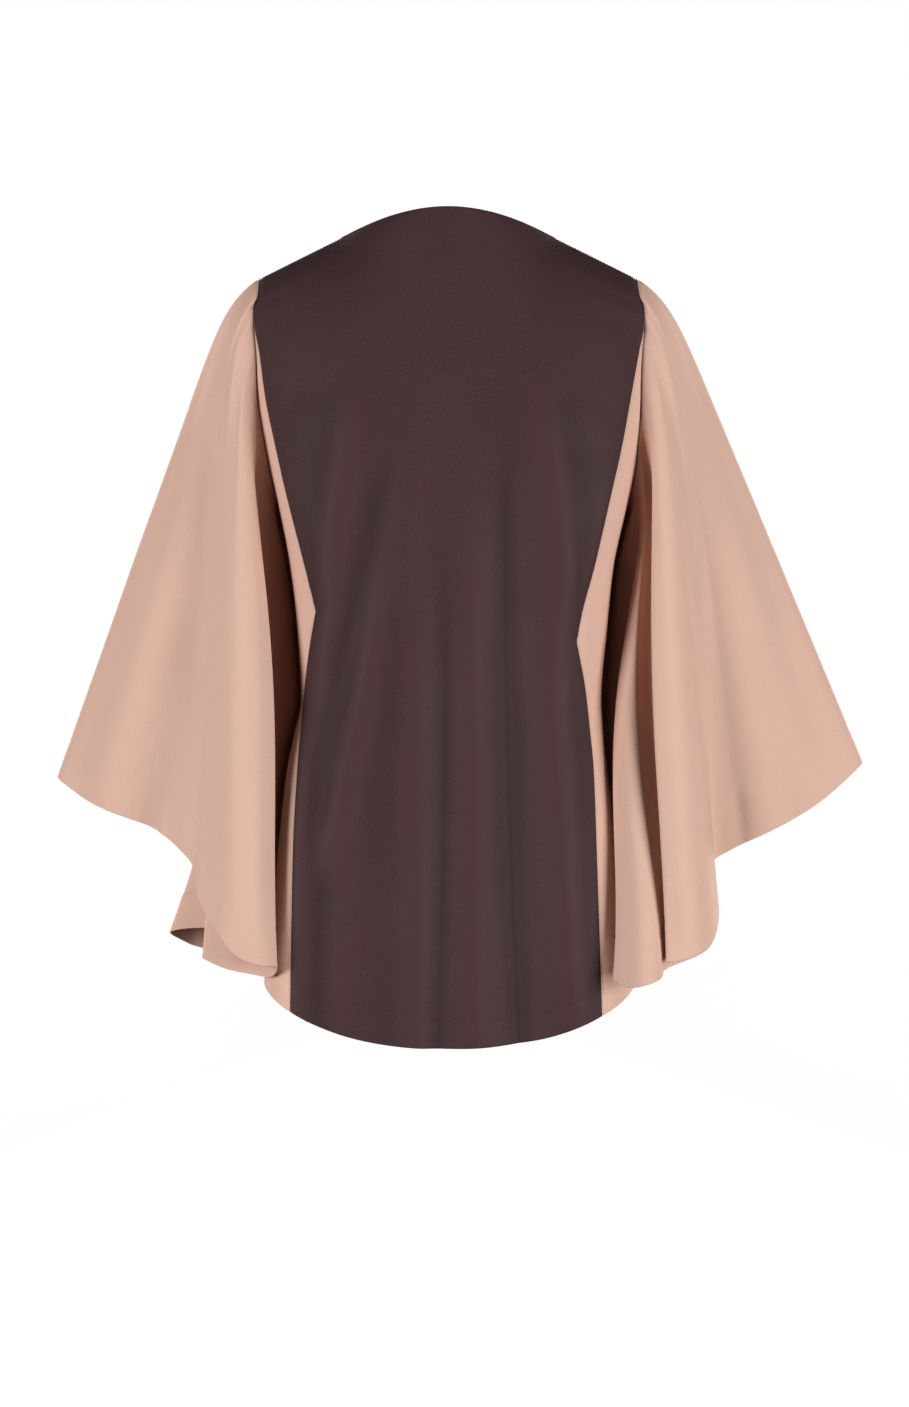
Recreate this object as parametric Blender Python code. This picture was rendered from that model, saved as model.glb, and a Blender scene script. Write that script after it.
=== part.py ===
# Cape top: a pull-on top with a dark centre back and front, pale side panels
# and wide pale cape sleeves set into the armholes, filled out as if worn.
# Metres, +Z up. The wearer faces +Y, and the back is seen along +Y from behind.
# The origin lies midway between the two points where the shoulder seams meet the neckline.

import math

import bmesh
import bpy
from mathutils import Vector

for old in list(bpy.data.objects):
    bpy.data.objects.remove(old, do_unlink=True)

# Cloth
WALL = 0.0015                # thickness of every wall
SEAM_GAP = 0.0003            # left open between two sewn edges
EDGE_RELIEF = 0.00025        # how far the inner face of a wall stands back at a seam
SLEEVE_STANDOFF = 0.0005     # from the armhole's edge to the sleeve's first ring

# Neck and shoulders
NECK_HALF = 0.096
BACK_NECK_DEPTH = 0.060
BACK_NECK_RISE = 0.021
BACK_NECK_POWER = 2.3        # how sharply the back neckline rises from the shoulder seams
FRONT_NECK_DEPTH = 0.082
FRONT_NECK_DROP = 0.100
FRONT_NECK_POWER = 1.5
SHOULDER_HALF = 0.166
SHOULDER_HEIGHT = -0.035
SHOULDER_SHARE = 0.2         # part of a panel's top edge taken by each shoulder seam
SHOULDER_HOLD = 0.25         # part of a panel's width over which it is drawn to its long seam
ROLL_AT_MIDDLE = 1.25        # how full the cloth rolls from the chest to the neckline
ROLL_AT_SHOULDER = 2.2
ROLL_SPREAD = 1.5

# Armhole
HORN_HEIGHT = -0.075         # where the side panel's points end on the long seams
UNDERARM_HEIGHT = -0.235
HORN_POWER = 2.2

# Body
CHEST_HEIGHT = -0.190
HEM_REFERENCE = -0.660
SIDE_HEM = -0.648
BACK_HEM = -0.703
FRONT_HEM = -0.676
HEM_POWER = 1.8
FRONT_SQUARENESS = 2.35      # of the front's section
HEM_SQUARENESS = 2.35        # of the curve that the hem rises on

# Body sections, a row per height
# height, half width to the left, half width to the right, depth of the back, depth of the front,
# squareness of the back, where 2 is an ellipse and more is squarer
BODY_SECTIONS = (
    (-0.035, 0.1660, 0.1660, 0.060, 0.055, 2.35),
    (-0.075, 0.1780, 0.1800, 0.078, 0.078, 2.35),
    (-0.133, 0.1735, 0.1790, 0.089, 0.101, 2.40),
    (-0.186, 0.1605, 0.1685, 0.094, 0.112, 3.10),
    (-0.239, 0.1475, 0.1560, 0.095, 0.116, 4.20),
    (-0.291, 0.1375, 0.1445, 0.093, 0.112, 4.50),
    (-0.344, 0.1315, 0.1390, 0.088, 0.101, 4.60),
    (-0.406, 0.1280, 0.1340, 0.084, 0.092, 4.60),
    (-0.432, 0.1330, 0.1355, 0.085, 0.093, 4.80),
    (-0.468, 0.1400, 0.1390, 0.089, 0.097, 5.00),
    (-0.520, 0.1455, 0.1460, 0.096, 0.104, 5.20),
    (-0.652, 0.1590, 0.1635, 0.112, 0.116, 5.20),
    (-0.710, 0.1640, 0.1690, 0.118, 0.120, 5.00),
)

# Long seams beside the dark panels, a row per height, each with one corner at its narrowest
# height, distance from the middle
LONG_SEAMS = {
    ("back", "left"): (
        (-0.035, 0.166), (-0.053, 0.1665), (-0.065, 0.1700), (-0.078, 0.1695),
        (-0.105, 0.1645), (-0.139, 0.160), (-0.191, 0.149),
        (-0.225, 0.141), (-0.260, 0.132), (-0.294, 0.123), (-0.330, 0.114),
        (-0.356, 0.119), (-0.397, 0.125), (-0.432, 0.128), (-0.466, 0.130), (-0.535, 0.133),
        (-0.710, 0.135),
    ),
    ("back", "right"): (
        (-0.035, 0.166), (-0.052, 0.1675), (-0.066, 0.1715), (-0.080, 0.1715),
        (-0.100, 0.1675), (-0.139, 0.160), (-0.191, 0.150),
        (-0.225, 0.142), (-0.260, 0.134), (-0.294, 0.126), (-0.330, 0.116), (-0.356, 0.111),
        (-0.397, 0.119), (-0.432, 0.123), (-0.466, 0.126), (-0.535, 0.128), (-0.710, 0.133),
    ),
    ("front", "both"): (
        (-0.035, 0.166), (-0.075, 0.168), (-0.105, 0.164), (-0.139, 0.159), (-0.191, 0.149),
        (-0.225, 0.141), (-0.260, 0.132), (-0.294, 0.124), (-0.343, 0.113),
        (-0.397, 0.121), (-0.466, 0.128), (-0.535, 0.130), (-0.710, 0.134),
    ),
}

# Folds of the dark panels, a row per fold: positive heights stand out, negative ones sink in
# name, x and height where it starts, x and height where it ends, height of fold, half width
BACK_FOLDS = (
    ("left blade ridge", -0.090, -0.184, -0.112, -0.325, 0.0045, 0.014),
    ("right blade ridge", 0.076, -0.133, 0.104, -0.338, 0.0045, 0.012),
    ("left ridge", -0.058, -0.287, -0.100, -0.560, 0.0060, 0.018),
    ("left trough", -0.078, -0.270, -0.118, -0.500, -0.0045, 0.014),
    ("middle trough", -0.007, -0.218, -0.001, -0.710, -0.0050, 0.015),
    ("middle ridge", -0.028, -0.330, -0.036, -0.710, 0.0045, 0.018),
    ("right trough", 0.049, -0.235, 0.061, -0.710, -0.0080, 0.020),
    ("right ridge", 0.085, -0.287, 0.112, -0.710, 0.0065, 0.020),
)
FRONT_FOLDS = (
    ("left bust ridge", -0.066, -0.250, -0.090, -0.600, 0.0055, 0.020),
    ("left trough", -0.036, -0.330, -0.050, -0.690, -0.0055, 0.018),
    ("middle ridge", 0.004, -0.300, 0.008, -0.690, 0.0045, 0.020),
    ("right trough", 0.048, -0.360, 0.062, -0.690, -0.0065, 0.020),
    ("right bust ridge", 0.080, -0.260, 0.104, -0.690, 0.0055, 0.020),
)
FOLD_START = 0.35            # part of a fold's length over which it rises
FOLD_FADE = 0.060            # length over which it dies away past its end
SEAM_CALM = 0.07             # share of the panel beside each seam where folds flatten

# Sleeve hems, a row per fold, once round from the outer tip over the back
# name, share of the armhole it hangs from, hem x (away from the body), y, z, outward bow under
# the shoulder, bow towards the body at mid length, share of the length where the fold starts,
# how closely it follows the side of the body, bow towards the front below the armhole
LEFT_SLEEVE = (
    ("outer tip", 0.000, 0.344, 0.000, -0.474, 0.0220, 0.000, 0.00, 0.00, 0.000),
    ("tip back", 0.020, 0.320, -0.018, -0.491, 0.0215, 0.000, 0.00, 0.00, 0.000),
    ("hem back 1", 0.040, 0.297, -0.036, -0.502, 0.0210, 0.000, 0.00, 0.00, 0.000),
    ("hem back 2", 0.070, 0.253, -0.060, -0.518, 0.0190, 0.000, 0.00, 0.00, 0.000),
    ("hem back 3", 0.095, 0.230, -0.078, -0.535, 0.0170, 0.000, 0.00, 0.00, 0.000),
    ("back dip", 0.110, 0.219, -0.086, -0.548, 0.0160, 0.000, 0.00, 0.00, 0.000),
    ("curl 1", 0.130, 0.213, -0.095, -0.577, 0.0145, 0.000, 0.00, 0.00, 0.000),
    ("curl 2", 0.155, 0.198, -0.108, -0.601, 0.0130, 0.002, 0.00, 0.00, 0.000),
    ("back ridge", 0.185, 0.180, -0.118, -0.623, 0.0140, 0.004, 0.00, 0.00, 0.000),
    ("back edge", 0.225, 0.159, -0.122, -0.631, 0.0120, 0.007, 0.00, 0.00, 0.000),
    ("inner edge", 0.275, 0.145, -0.114, -0.633, 0.0090, 0.009, 0.00, 0.00, 0.000),
    ("inner return", 0.305, 0.154, -0.101, -0.636, 0.0080, -0.006, 0.00, 0.00, 0.002),
    ("tuck 1", 0.325, 0.171, -0.093, -0.634, 0.0070, -0.014, 0.20, 0.00, 0.004),
    ("tuck 2", 0.345, 0.191, -0.087, -0.633, 0.0060, -0.018, 0.25, 0.00, 0.008),
    ("tuck end", 0.365, 0.210, -0.073, -0.628, 0.0050, -0.018, 0.00, 0.00, 0.012),
    ("under tuck 1", 0.385, 0.190, -0.059, -0.635, 0.0050, -0.010, 0.30, 0.00, 0.018),
    ("under tuck 2", 0.405, 0.170, -0.055, -0.641, 0.0040, -0.002, 0.30, 0.50, 0.027),
    ("body valley", 0.430, 0.158, -0.036, -0.644, 0.0040, 0.002, 0.00, 1.00, 0.036),
    ("side lift 1", 0.450, 0.177, -0.032, -0.619, 0.0040, 0.000, 0.35, 0.50, 0.039),
    ("side lift 2", 0.465, 0.204, -0.023, -0.606, 0.0040, 0.000, 0.40, 0.00, 0.039),
    ("side ridge", 0.485, 0.243, -0.008, -0.610, 0.0040, 0.000, 0.40, 0.00, 0.036),
    ("side return", 0.520, 0.227, 0.012, -0.622, 0.0040, 0.000, 0.00, 0.00, 0.032),
    ("front tuck 1", 0.560, 0.203, 0.028, -0.636, 0.0040, 0.000, 0.00, 0.50, 0.024),
    ("front tuck 2", 0.610, 0.158, 0.050, -0.643, 0.0050, 0.002, 0.00, 1.00, 0.010),
    ("front edge", 0.700, 0.148, 0.088, -0.638, 0.0070, 0.004, 0.00, 0.50, 0.000),
    ("front turn", 0.780, 0.160, 0.106, -0.629, 0.0100, 0.000, 0.00, 0.00, 0.000),
    ("front ridge", 0.840, 0.190, 0.112, -0.614, 0.0130, 0.000, 0.00, 0.00, 0.000),
    ("front hem 1", 0.890, 0.226, 0.092, -0.540, 0.0160, 0.000, 0.00, 0.00, 0.000),
    ("front hem 2", 0.930, 0.268, 0.072, -0.508, 0.0190, 0.000, 0.00, 0.00, 0.000),
    ("front hem 3", 0.970, 0.306, 0.040, -0.496, 0.0215, 0.000, 0.00, 0.00, 0.000),
)
RIGHT_SLEEVE = (
    ("outer tip", 0.000, 0.365, 0.000, -0.461, 0.0215, 0.000, 0.00, 0.00, 0.000),
    ("tip back", 0.020, 0.338, -0.020, -0.485, 0.0205, 0.000, 0.00, 0.00, 0.000),
    ("hem back 1", 0.040, 0.314, -0.035, -0.502, 0.0200, 0.000, 0.00, 0.00, 0.000),
    ("hem back 2", 0.065, 0.281, -0.050, -0.519, 0.0185, 0.000, 0.00, 0.00, 0.000),
    ("hem back 3", 0.090, 0.248, -0.055, -0.534, 0.0180, 0.000, 0.00, 0.00, 0.000),
    ("back dip", 0.110, 0.229, -0.060, -0.546, 0.0160, 0.000, 0.00, 0.00, 0.000),
    ("curl 1", 0.130, 0.230, -0.072, -0.566, 0.0145, 0.000, 0.00, 0.00, 0.000),
    ("curl 2", 0.155, 0.231, -0.090, -0.594, 0.0130, 0.000, 0.00, 0.00, 0.000),
    ("back ridge", 0.185, 0.222, -0.110, -0.616, 0.0140, 0.000, 0.00, 0.00, 0.000),
    ("back edge", 0.225, 0.205, -0.122, -0.625, 0.0120, 0.002, 0.00, 0.00, 0.000),
    ("inner edge", 0.270, 0.185, -0.124, -0.628, 0.0100, 0.006, 0.00, 0.00, 0.000),
    ("inner return", 0.300, 0.196, -0.102, -0.627, 0.0080, -0.008, 0.00, 0.00, 0.004),
    ("valley", 0.325, 0.214, -0.056, -0.628, 0.0060, -0.020, 0.00, 0.00, 0.022),
    ("roll 1", 0.345, 0.189, -0.074, -0.636, 0.0050, -0.004, 0.20, 0.00, 0.022),
    ("roll 2", 0.360, 0.177, -0.100, -0.645, 0.0050, 0.002, 0.20, 0.00, 0.018),
    ("roll 3", 0.375, 0.163, -0.117, -0.648, 0.0050, 0.008, 0.20, 0.00, 0.018),
    ("roll 4", 0.390, 0.149, -0.121, -0.647, 0.0050, 0.011, 0.20, 0.00, 0.018),
    ("roll edge", 0.405, 0.140, -0.112, -0.641, 0.0050, 0.010, 0.20, 0.00, 0.022),
    ("roll return", 0.418, 0.152, -0.098, -0.640, 0.0050, 0.006, 0.20, 0.00, 0.028),
    ("body valley 1", 0.432, 0.168, -0.070, -0.640, 0.0040, 0.000, 0.20, 0.60, 0.032),
    ("body valley 2", 0.452, 0.172, -0.040, -0.642, 0.0040, 0.000, 0.00, 1.00, 0.034),
    ("side", 0.500, 0.178, 0.000, -0.645, 0.0040, 0.000, 0.00, 0.80, 0.024),
    ("front tuck 1", 0.560, 0.196, 0.030, -0.638, 0.0040, 0.000, 0.30, 0.50, 0.014),
    ("front tuck 2", 0.610, 0.162, 0.050, -0.640, 0.0050, 0.000, 0.30, 1.00, 0.006),
    ("front edge", 0.700, 0.153, 0.090, -0.634, 0.0070, 0.003, 0.00, 0.50, 0.000),
    ("front turn", 0.780, 0.168, 0.110, -0.626, 0.0100, 0.000, 0.00, 0.00, 0.000),
    ("front ridge", 0.840, 0.205, 0.112, -0.606, 0.0130, 0.000, 0.00, 0.00, 0.000),
    ("front hem 1", 0.890, 0.245, 0.088, -0.535, 0.0160, 0.000, 0.00, 0.00, 0.000),
    ("front hem 2", 0.930, 0.289, 0.066, -0.508, 0.0190, 0.000, 0.00, 0.00, 0.000),
    ("front hem 3", 0.970, 0.327, 0.038, -0.490, 0.0205, 0.000, 0.00, 0.00, 0.000),
)
CAP_LENGTH = 0.045           # share of the sleeve over which it rounds the shoulder
CAP_TURN = 2.0               # how far the rounding is turned to the front and the back
FOLD_POWER = 1.2             # how gently a fold leaves the sleeve
FORWARD_POWER = 0.6          # below 1 the bow towards the front lies nearer the armhole
HUG_LENGTH = 0.05            # share of the sleeve over which it settles against the body
HUG_CLEARANCE = 0.0045

# How finely the walls are divided
BACK_COLUMNS = 30
FRONT_COLUMNS = 25
SIDE_COLUMNS = 10
ROWS_TO_WAIST = 9
ROWS_TO_CHEST = 4
ROWS_TO_HORN = 4
ROWS_TO_SHOULDER = 3
SLEEVE_COLUMNS_PER_FOLD = 3
SLEEVE_ROWS = 11
SLEEVE_ROW_POWER = 1.5
SHOULDER_ROW_POWER = 1.6     # how closely the last rows crowd towards the shoulder seam
ARMHOLE_STEPS = 60
ARMHOLE_DROP_STEPS = 10      # from the shoulder point to the side panel's point
NORMAL_TURN = 0.02           # radians and metres either side of a place where the cloth's slope is taken
NORMAL_RISE = 0.004
SMALLEST_GAP = 1e-6
CREASE_ANGLE = 50            # degrees, edges sharper than this are shaded sharp

# name, red, green, blue, roughness
CREPES = {
    "dark": ("aubergine crepe", 0.076, 0.042, 0.045, 0.85),
    "blush": ("blush crepe", 0.604, 0.392, 0.323, 0.85),
}


# Plain helpers for curves

def mix(first, last, share):
    return first + (last - first) * share


def sign(side):
    return -1.0 if side == "left" else 1.0


def secant(rows, index, column):
    rise = rows[index + 1][column] - rows[index][column]
    return rise / (rows[index + 1][0] - rows[index][0])


def slope(rows, index, column):
    if index == 0:
        return secant(rows, 0, column)
    if index == len(rows) - 1:
        return secant(rows, index - 1, column)
    before = secant(rows, index - 1, column)
    after = secant(rows, index, column)
    if before * after <= 0.0:
        return 0.0
    return 2.0 * before * after / (before + after)


def smooth(rows, height, column=1):
    # a smooth curve through a table whose first column falls, without overshoot
    height = min(max(height, rows[-1][0]), rows[0][0])
    index = 0
    while index < len(rows) - 2 and height < rows[index + 1][0]:
        index += 1
    start, end = rows[index], rows[index + 1]
    step = end[0] - start[0]
    t = (height - start[0]) / step
    value = start[column] * (1 + 2 * t) * (1 - t) ** 2 + end[column] * t * t * (3 - 2 * t)
    value += slope(rows, index, column) * step * t * (1 - t) ** 2
    value -= slope(rows, index + 1, column) * step * t * t * (1 - t)
    return value


# The body

def half_width(side, height):
    return smooth(BODY_SECTIONS, height, 1 if side == "left" else 2)


def body_depth(face, height):
    return smooth(BODY_SECTIONS, height, 3 if face == "back" else 4)


def squareness(face, height):
    return smooth(BODY_SECTIONS, height, 5) if face == "back" else FRONT_SQUARENESS


def ring_point(angle, height):
    # a point of the body's section, at an angle round from +X
    face = "back" if math.sin(angle) < 0 else "front"
    half = half_width("left" if math.cos(angle) < 0 else "right", height)
    depth = body_depth(face, height)
    power = squareness(face, height)
    across = abs(math.cos(angle)) / half
    along = abs(math.sin(angle)) / depth
    radius = (across ** power + along ** power) ** (-1 / power)
    return Vector((radius * math.cos(angle), radius * math.sin(angle), height))


def seam_rows(face, side):
    return LONG_SEAMS.get((face, side)) or LONG_SEAMS[("front", "both")]


def waist_corner(face, side):
    # height of the corner that the long seam has at its narrowest
    return min(seam_rows(face, side), key=lambda row: row[1])[0]


def seam_point(face, side, height):
    rows = seam_rows(face, side)
    corner = waist_corner(face, side)
    part = [row for row in rows if (row[0] >= corner if height >= corner else row[0] <= corner)]
    half = half_width(side, height)
    depth = body_depth(face, height)
    power = squareness(face, height)
    across = min(smooth(part, height), half)
    along = depth * (1 - (across / half) ** power) ** (1 / power)
    return Vector((sign(side) * across, -along if face == "back" else along, height))


def seam_angle(face, side, height):
    point = seam_point(face, side, height)
    return math.atan2(point.y, point.x)


def seam_normal(face, side, height):
    # straight out of the body at a long seam, the same for the cloth on both sides of it
    angle = seam_angle(face, side, height)
    around = ring_point(angle + NORMAL_TURN, height) - ring_point(angle - NORMAL_TURN, height)
    upward = ring_point(angle, height + NORMAL_RISE) - ring_point(angle, height - NORMAL_RISE)
    return around.cross(upward).normalized()


def hem_height(angle):
    point = ring_point(angle, HEM_REFERENCE)
    across = min(1.0, abs(point.x) / half_width("left" if point.x < 0 else "right", HEM_REFERENCE))
    middle = (1 - across ** HEM_SQUARENESS) ** (1 / HEM_SQUARENESS)
    return mix(SIDE_HEM, BACK_HEM if point.y < 0 else FRONT_HEM, middle ** HEM_POWER)


def fold_offset(folds, x, height):
    # how far the folds push the cloth outwards at a place
    total = 0.0
    for _, start_x, start_height, end_x, end_height, rise, width in folds:
        along = (start_height - height) / (start_height - end_height)
        if along <= 0.0:
            continue
        strength = min(along / FOLD_START, 1.0)
        strength = strength * strength * (3 - 2 * strength)
        if height < end_height:
            strength *= max(0.0, 1 - (end_height - height) / FOLD_FADE)
        centre = mix(start_x, end_x, along)
        total += rise * strength * math.exp(-((x - centre) / width) ** 2)
    return total


def top_edge(face, across):
    # shoulder seam, neckline, shoulder seam
    if across < SHOULDER_SHARE or across > 1 - SHOULDER_SHARE:
        inward = min(across, 1 - across) / SHOULDER_SHARE
        x = mix(SHOULDER_HALF, NECK_HALF, inward)
        return Vector((-x if across < 0.5 else x, 0.0, mix(SHOULDER_HEIGHT, 0.0, inward)))
    # halfway between even steps round the neckline and even steps across it
    round_share = min(1.0, max(0.0, (across - SHOULDER_SHARE) / (1 - 2 * SHOULDER_SHARE)))
    angle = mix(math.pi * round_share, math.acos(1 - 2 * round_share), 0.5)
    x = -NECK_HALF * math.cos(angle)
    round_neck = max(0.0, math.sin(angle))
    if face == "back":
        return Vector((x, -BACK_NECK_DEPTH * round_neck, BACK_NECK_RISE * round_neck ** BACK_NECK_POWER))
    return Vector((x, FRONT_NECK_DEPTH * round_neck, -FRONT_NECK_DROP * round_neck ** FRONT_NECK_POWER))


def below_chest(face, across, level):
    # level 0 is the hem, 1 the waist corner, 2 the chest
    hem_left = seam_angle(face, "left", HEM_REFERENCE)
    hem_right = seam_angle(face, "right", HEM_REFERENCE)
    hem = hem_height(mix(hem_left, hem_right, across))
    waist = mix(waist_corner(face, "left"), waist_corner(face, "right"), across)
    if level <= 1:
        height = mix(hem, waist, level)
    else:
        height = mix(waist, CHEST_HEIGHT, level - 1)
    left = seam_angle(face, "left", height)
    right = seam_angle(face, "right", height)
    return ring_point(mix(left, right, across), height)


def yoke(face, across, rise):
    # from the chest up to the top edge, rolling over the shoulder
    ring = below_chest(face, across, 2)
    edge = top_edge(face, across)
    outward = abs(2 * across - 1)
    power = mix(ROLL_AT_MIDDLE, ROLL_AT_SHOULDER, outward ** ROLL_SPREAD)
    roll = (1 - rise ** power) ** (1 / power)
    return Vector((mix(ring.x, edge.x, rise), mix(edge.y, ring.y, roll), mix(ring.z, edge.z, rise)))


def panel_point(face, across, level):
    # a point of the dark back or front, level 0 at the hem and 3 at the top edge
    if level <= 2:
        point = below_chest(face, across, level)
    else:
        rise = level - 2
        point = yoke(face, across, rise)
        height = mix(CHEST_HEIGHT, SHOULDER_HEIGHT, rise)
        for side, distance in (("left", across), ("right", 1 - across)):
            hold = max(0.0, 1 - distance / SHOULDER_HOLD) ** 2
            shift = seam_point(face, side, height) - yoke(face, 0.0 if side == "left" else 1.0, rise)
            point += shift * hold
    folds = BACK_FOLDS if face == "back" else FRONT_FOLDS
    calm = min(1.0, min(across, 1 - across) / SEAM_CALM)
    push = fold_offset(folds, point.x, point.z) * calm
    point.y += -push if face == "back" else push
    return point


def side_top(along):
    return mix(UNDERARM_HEIGHT, HORN_HEIGHT, abs(1 - 2 * along) ** HORN_POWER)


def side_point(side, along, level):
    # a point of a side panel, along 0 at the back seam and 1 at the front seam
    # level 0 is the hem, 1 the waist corner and 2 the armhole
    back_corner = waist_corner("back", side)
    front_corner = waist_corner("front", side)
    waist = mix(back_corner, front_corner, along)
    if level <= 1:
        hem = hem_height(side_angle(side, along, HEM_REFERENCE))
        height = mix(hem, waist, level)
    else:
        height = mix(waist, side_top(along), level - 1)
    return ring_point(side_angle(side, along, height), height)


def side_angle(side, along, height):
    back = seam_angle("back", side, height)
    front = seam_angle("front", side, height)
    if side == "left":
        back += 2 * math.pi
    return mix(back, front, along)


# The levels at which rows of points lie, the same on both sides of every long seam

def panel_levels():
    horn = (HORN_HEIGHT - CHEST_HEIGHT) / (SHOULDER_HEIGHT - CHEST_HEIGHT)
    levels = [row / ROWS_TO_WAIST for row in range(ROWS_TO_WAIST)]
    levels += [1 + row / ROWS_TO_CHEST for row in range(ROWS_TO_CHEST)]
    levels += [2 + horn * row / ROWS_TO_HORN for row in range(ROWS_TO_HORN)]
    for row in range(ROWS_TO_SHOULDER + 1):
        share = 1 - (1 - row / ROWS_TO_SHOULDER) ** SHOULDER_ROW_POWER
        levels.append(mix(2 + horn, 3, share))
    return levels


def side_levels(side, along):
    levels = [row / ROWS_TO_WAIST for row in range(ROWS_TO_WAIST)]
    shares = []
    for face in ("back", "front"):
        corner = waist_corner(face, side)
        heights = [mix(corner, CHEST_HEIGHT, row / ROWS_TO_CHEST) for row in range(ROWS_TO_CHEST)]
        heights += [mix(CHEST_HEIGHT, HORN_HEIGHT, row / ROWS_TO_HORN) for row in range(ROWS_TO_HORN + 1)]
        shares.append([(height - corner) / (HORN_HEIGHT - corner) for height in heights])
    levels += [1 + mix(back, front, along) for back, front in zip(*shares)]
    return levels


# The sleeves

def armhole_curve(side):
    # round the armhole from the shoulder point, down the back and up the front
    drop = [mix(SHOULDER_HEIGHT, HORN_HEIGHT, step / ARMHOLE_DROP_STEPS)
            for step in range(ARMHOLE_DROP_STEPS)]
    points = [seam_point("back", side, height) for height in drop]
    points += [side_point(side, step / ARMHOLE_STEPS, 2) for step in range(ARMHOLE_STEPS + 1)]
    points += [seam_point("front", side, height) for height in reversed(drop)]
    lengths = [0.0]
    for before, after in zip(points, points[1:]):
        lengths.append(lengths[-1] + (after - before).length)
    return points, lengths


def along_curve(curve, share):
    points, lengths = curve
    target = share * lengths[-1]
    index = 0
    while index < len(points) - 2 and lengths[index + 1] < target:
        index += 1
    part = (target - lengths[index]) / (lengths[index + 1] - lengths[index])
    return points[index].lerp(points[index + 1], part)


def round_curve(rows, index, part):
    # a smooth closed curve through rows of numbers, evenly paced between uneven points
    count = len(rows)
    four = [rows[(index + step) % count] for step in (-1, 0, 1, 2)]
    knots = [0.0]
    for before, after in zip(four, four[1:]):
        gap = Vector(after[:3]) - Vector(before[:3])
        knots.append(knots[-1] + math.sqrt(max(gap.length, SMALLEST_GAP)))
    t = mix(knots[1], knots[2], part)
    values = [list(row) for row in four]
    for degree in (1, 2, 3):
        for place in range(4 - degree):
            low = knots[place] if degree < 3 else knots[1]
            high = knots[place + degree] if degree < 3 else knots[2]
            share = (t - low) / (high - low)
            values[place] = [mix(a, b, share) for a, b in zip(values[place], values[place + 1])]
    return values[0]


def body_side(side, point):
    # how far the body reaches sideways beside a point
    face = "back" if point.y < 0 else "front"
    power = squareness(face, point.z)
    forward = min(1.0, abs(point.y) / body_depth(face, point.z))
    return half_width(side, point.z) * (1 - forward ** power) ** (1 / power)


def sleeve_column(side, rows, curve, index, part, levels):
    # one line of points down the sleeve, between two rows of its table
    out = Vector((sign(side), 0.0, 0.0))
    shares = [row[1] for row in rows] + [1.0]
    share = mix(shares[index], shares[index + 1], part)
    x, y, z, cap, sag, begins, hug, forward = round_curve([row[2:] for row in rows], index, part)
    end = Vector((sign(side) * x, y, z))
    # rows that begin at the armhole carry the sleeve, and the rest leave it lower down
    main = [row for row in rows if row[7] == 0.0]
    main_shares = [row[1] for row in main] + [1.0]
    place = max(number for number in range(len(main)) if main_shares[number] <= share)
    main_part = (share - main_shares[place]) / (main_shares[place + 1] - main_shares[place])
    x, y, z = round_curve([row[2:5] for row in main], place, main_part)
    straight = Vector((sign(side) * x, y, z))
    start = along_curve(curve, share) + out * SLEEVE_STANDOFF
    away = Vector((start.x, CAP_TURN * start.y, 0.0)).normalized()
    line = []
    for level in levels:
        bow = away * cap * (1 - level) * (1 - math.exp(-level / CAP_LENGTH))
        bow -= out * sag * math.sin(math.pi * level) ** 2
        bow.y += forward * math.sin(math.pi * level ** FORWARD_POWER) ** 2
        fold = (max(0.0, level - begins) / (1 - begins)) ** FOLD_POWER
        point = start.lerp(straight, level) + (end - straight) * fold + bow
        closeness = min(1.0, max(0.0, hug)) * min(1.0, level / HUG_LENGTH)
        point.x = mix(point.x, sign(side) * (body_side(side, point) + HUG_CLEARANCE), closeness)
        line.append(point)
    return line


def sleeve_grid(side, rows):
    curve = armhole_curve(side)
    levels = [(row / (SLEEVE_ROWS - 1)) ** SLEEVE_ROW_POWER for row in range(SLEEVE_ROWS)]
    steps = [step / SLEEVE_COLUMNS_PER_FOLD for step in range(SLEEVE_COLUMNS_PER_FOLD)]
    columns = [sleeve_column(side, rows, curve, index, part, levels)
               for index in range(len(rows)) for part in steps]
    return [list(line) for line in zip(*columns)]


# Walls of cloth from a grid of points on their outer face

def grid_normals(grid, closed, outward):
    # outward is 1 or -1 and turns every normal out of the cloth
    normals = []
    last_row = len(grid) - 1
    for row, line in enumerate(grid):
        count = len(line)
        out = []
        for column in range(count):
            before = line[(column - 1) % count] if closed else line[max(column - 1, 0)]
            after = line[(column + 1) % count] if closed else line[min(column + 1, count - 1)]
            below = grid[max(row - 1, 0)][column]
            above = grid[min(row + 1, last_row)][column]
            out.append((after - before).cross(above - below).normalized() * outward)
        normals.append(out)
    return normals


def pull_in(grid, amount):
    # draws a grid's sides and its top edge back along the cloth
    moved = [list(line) for line in grid]
    for line, new in zip(grid, moved):
        new[0] = line[0] + (line[1] - line[0]).normalized() * amount
        new[-1] = line[-1] + (line[-2] - line[-1]).normalized() * amount
    for column, point in enumerate(moved[-1]):
        inward = moved[-2][column] - point
        moved[-1][column] = point + inward.normalized() * amount
    return moved


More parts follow.
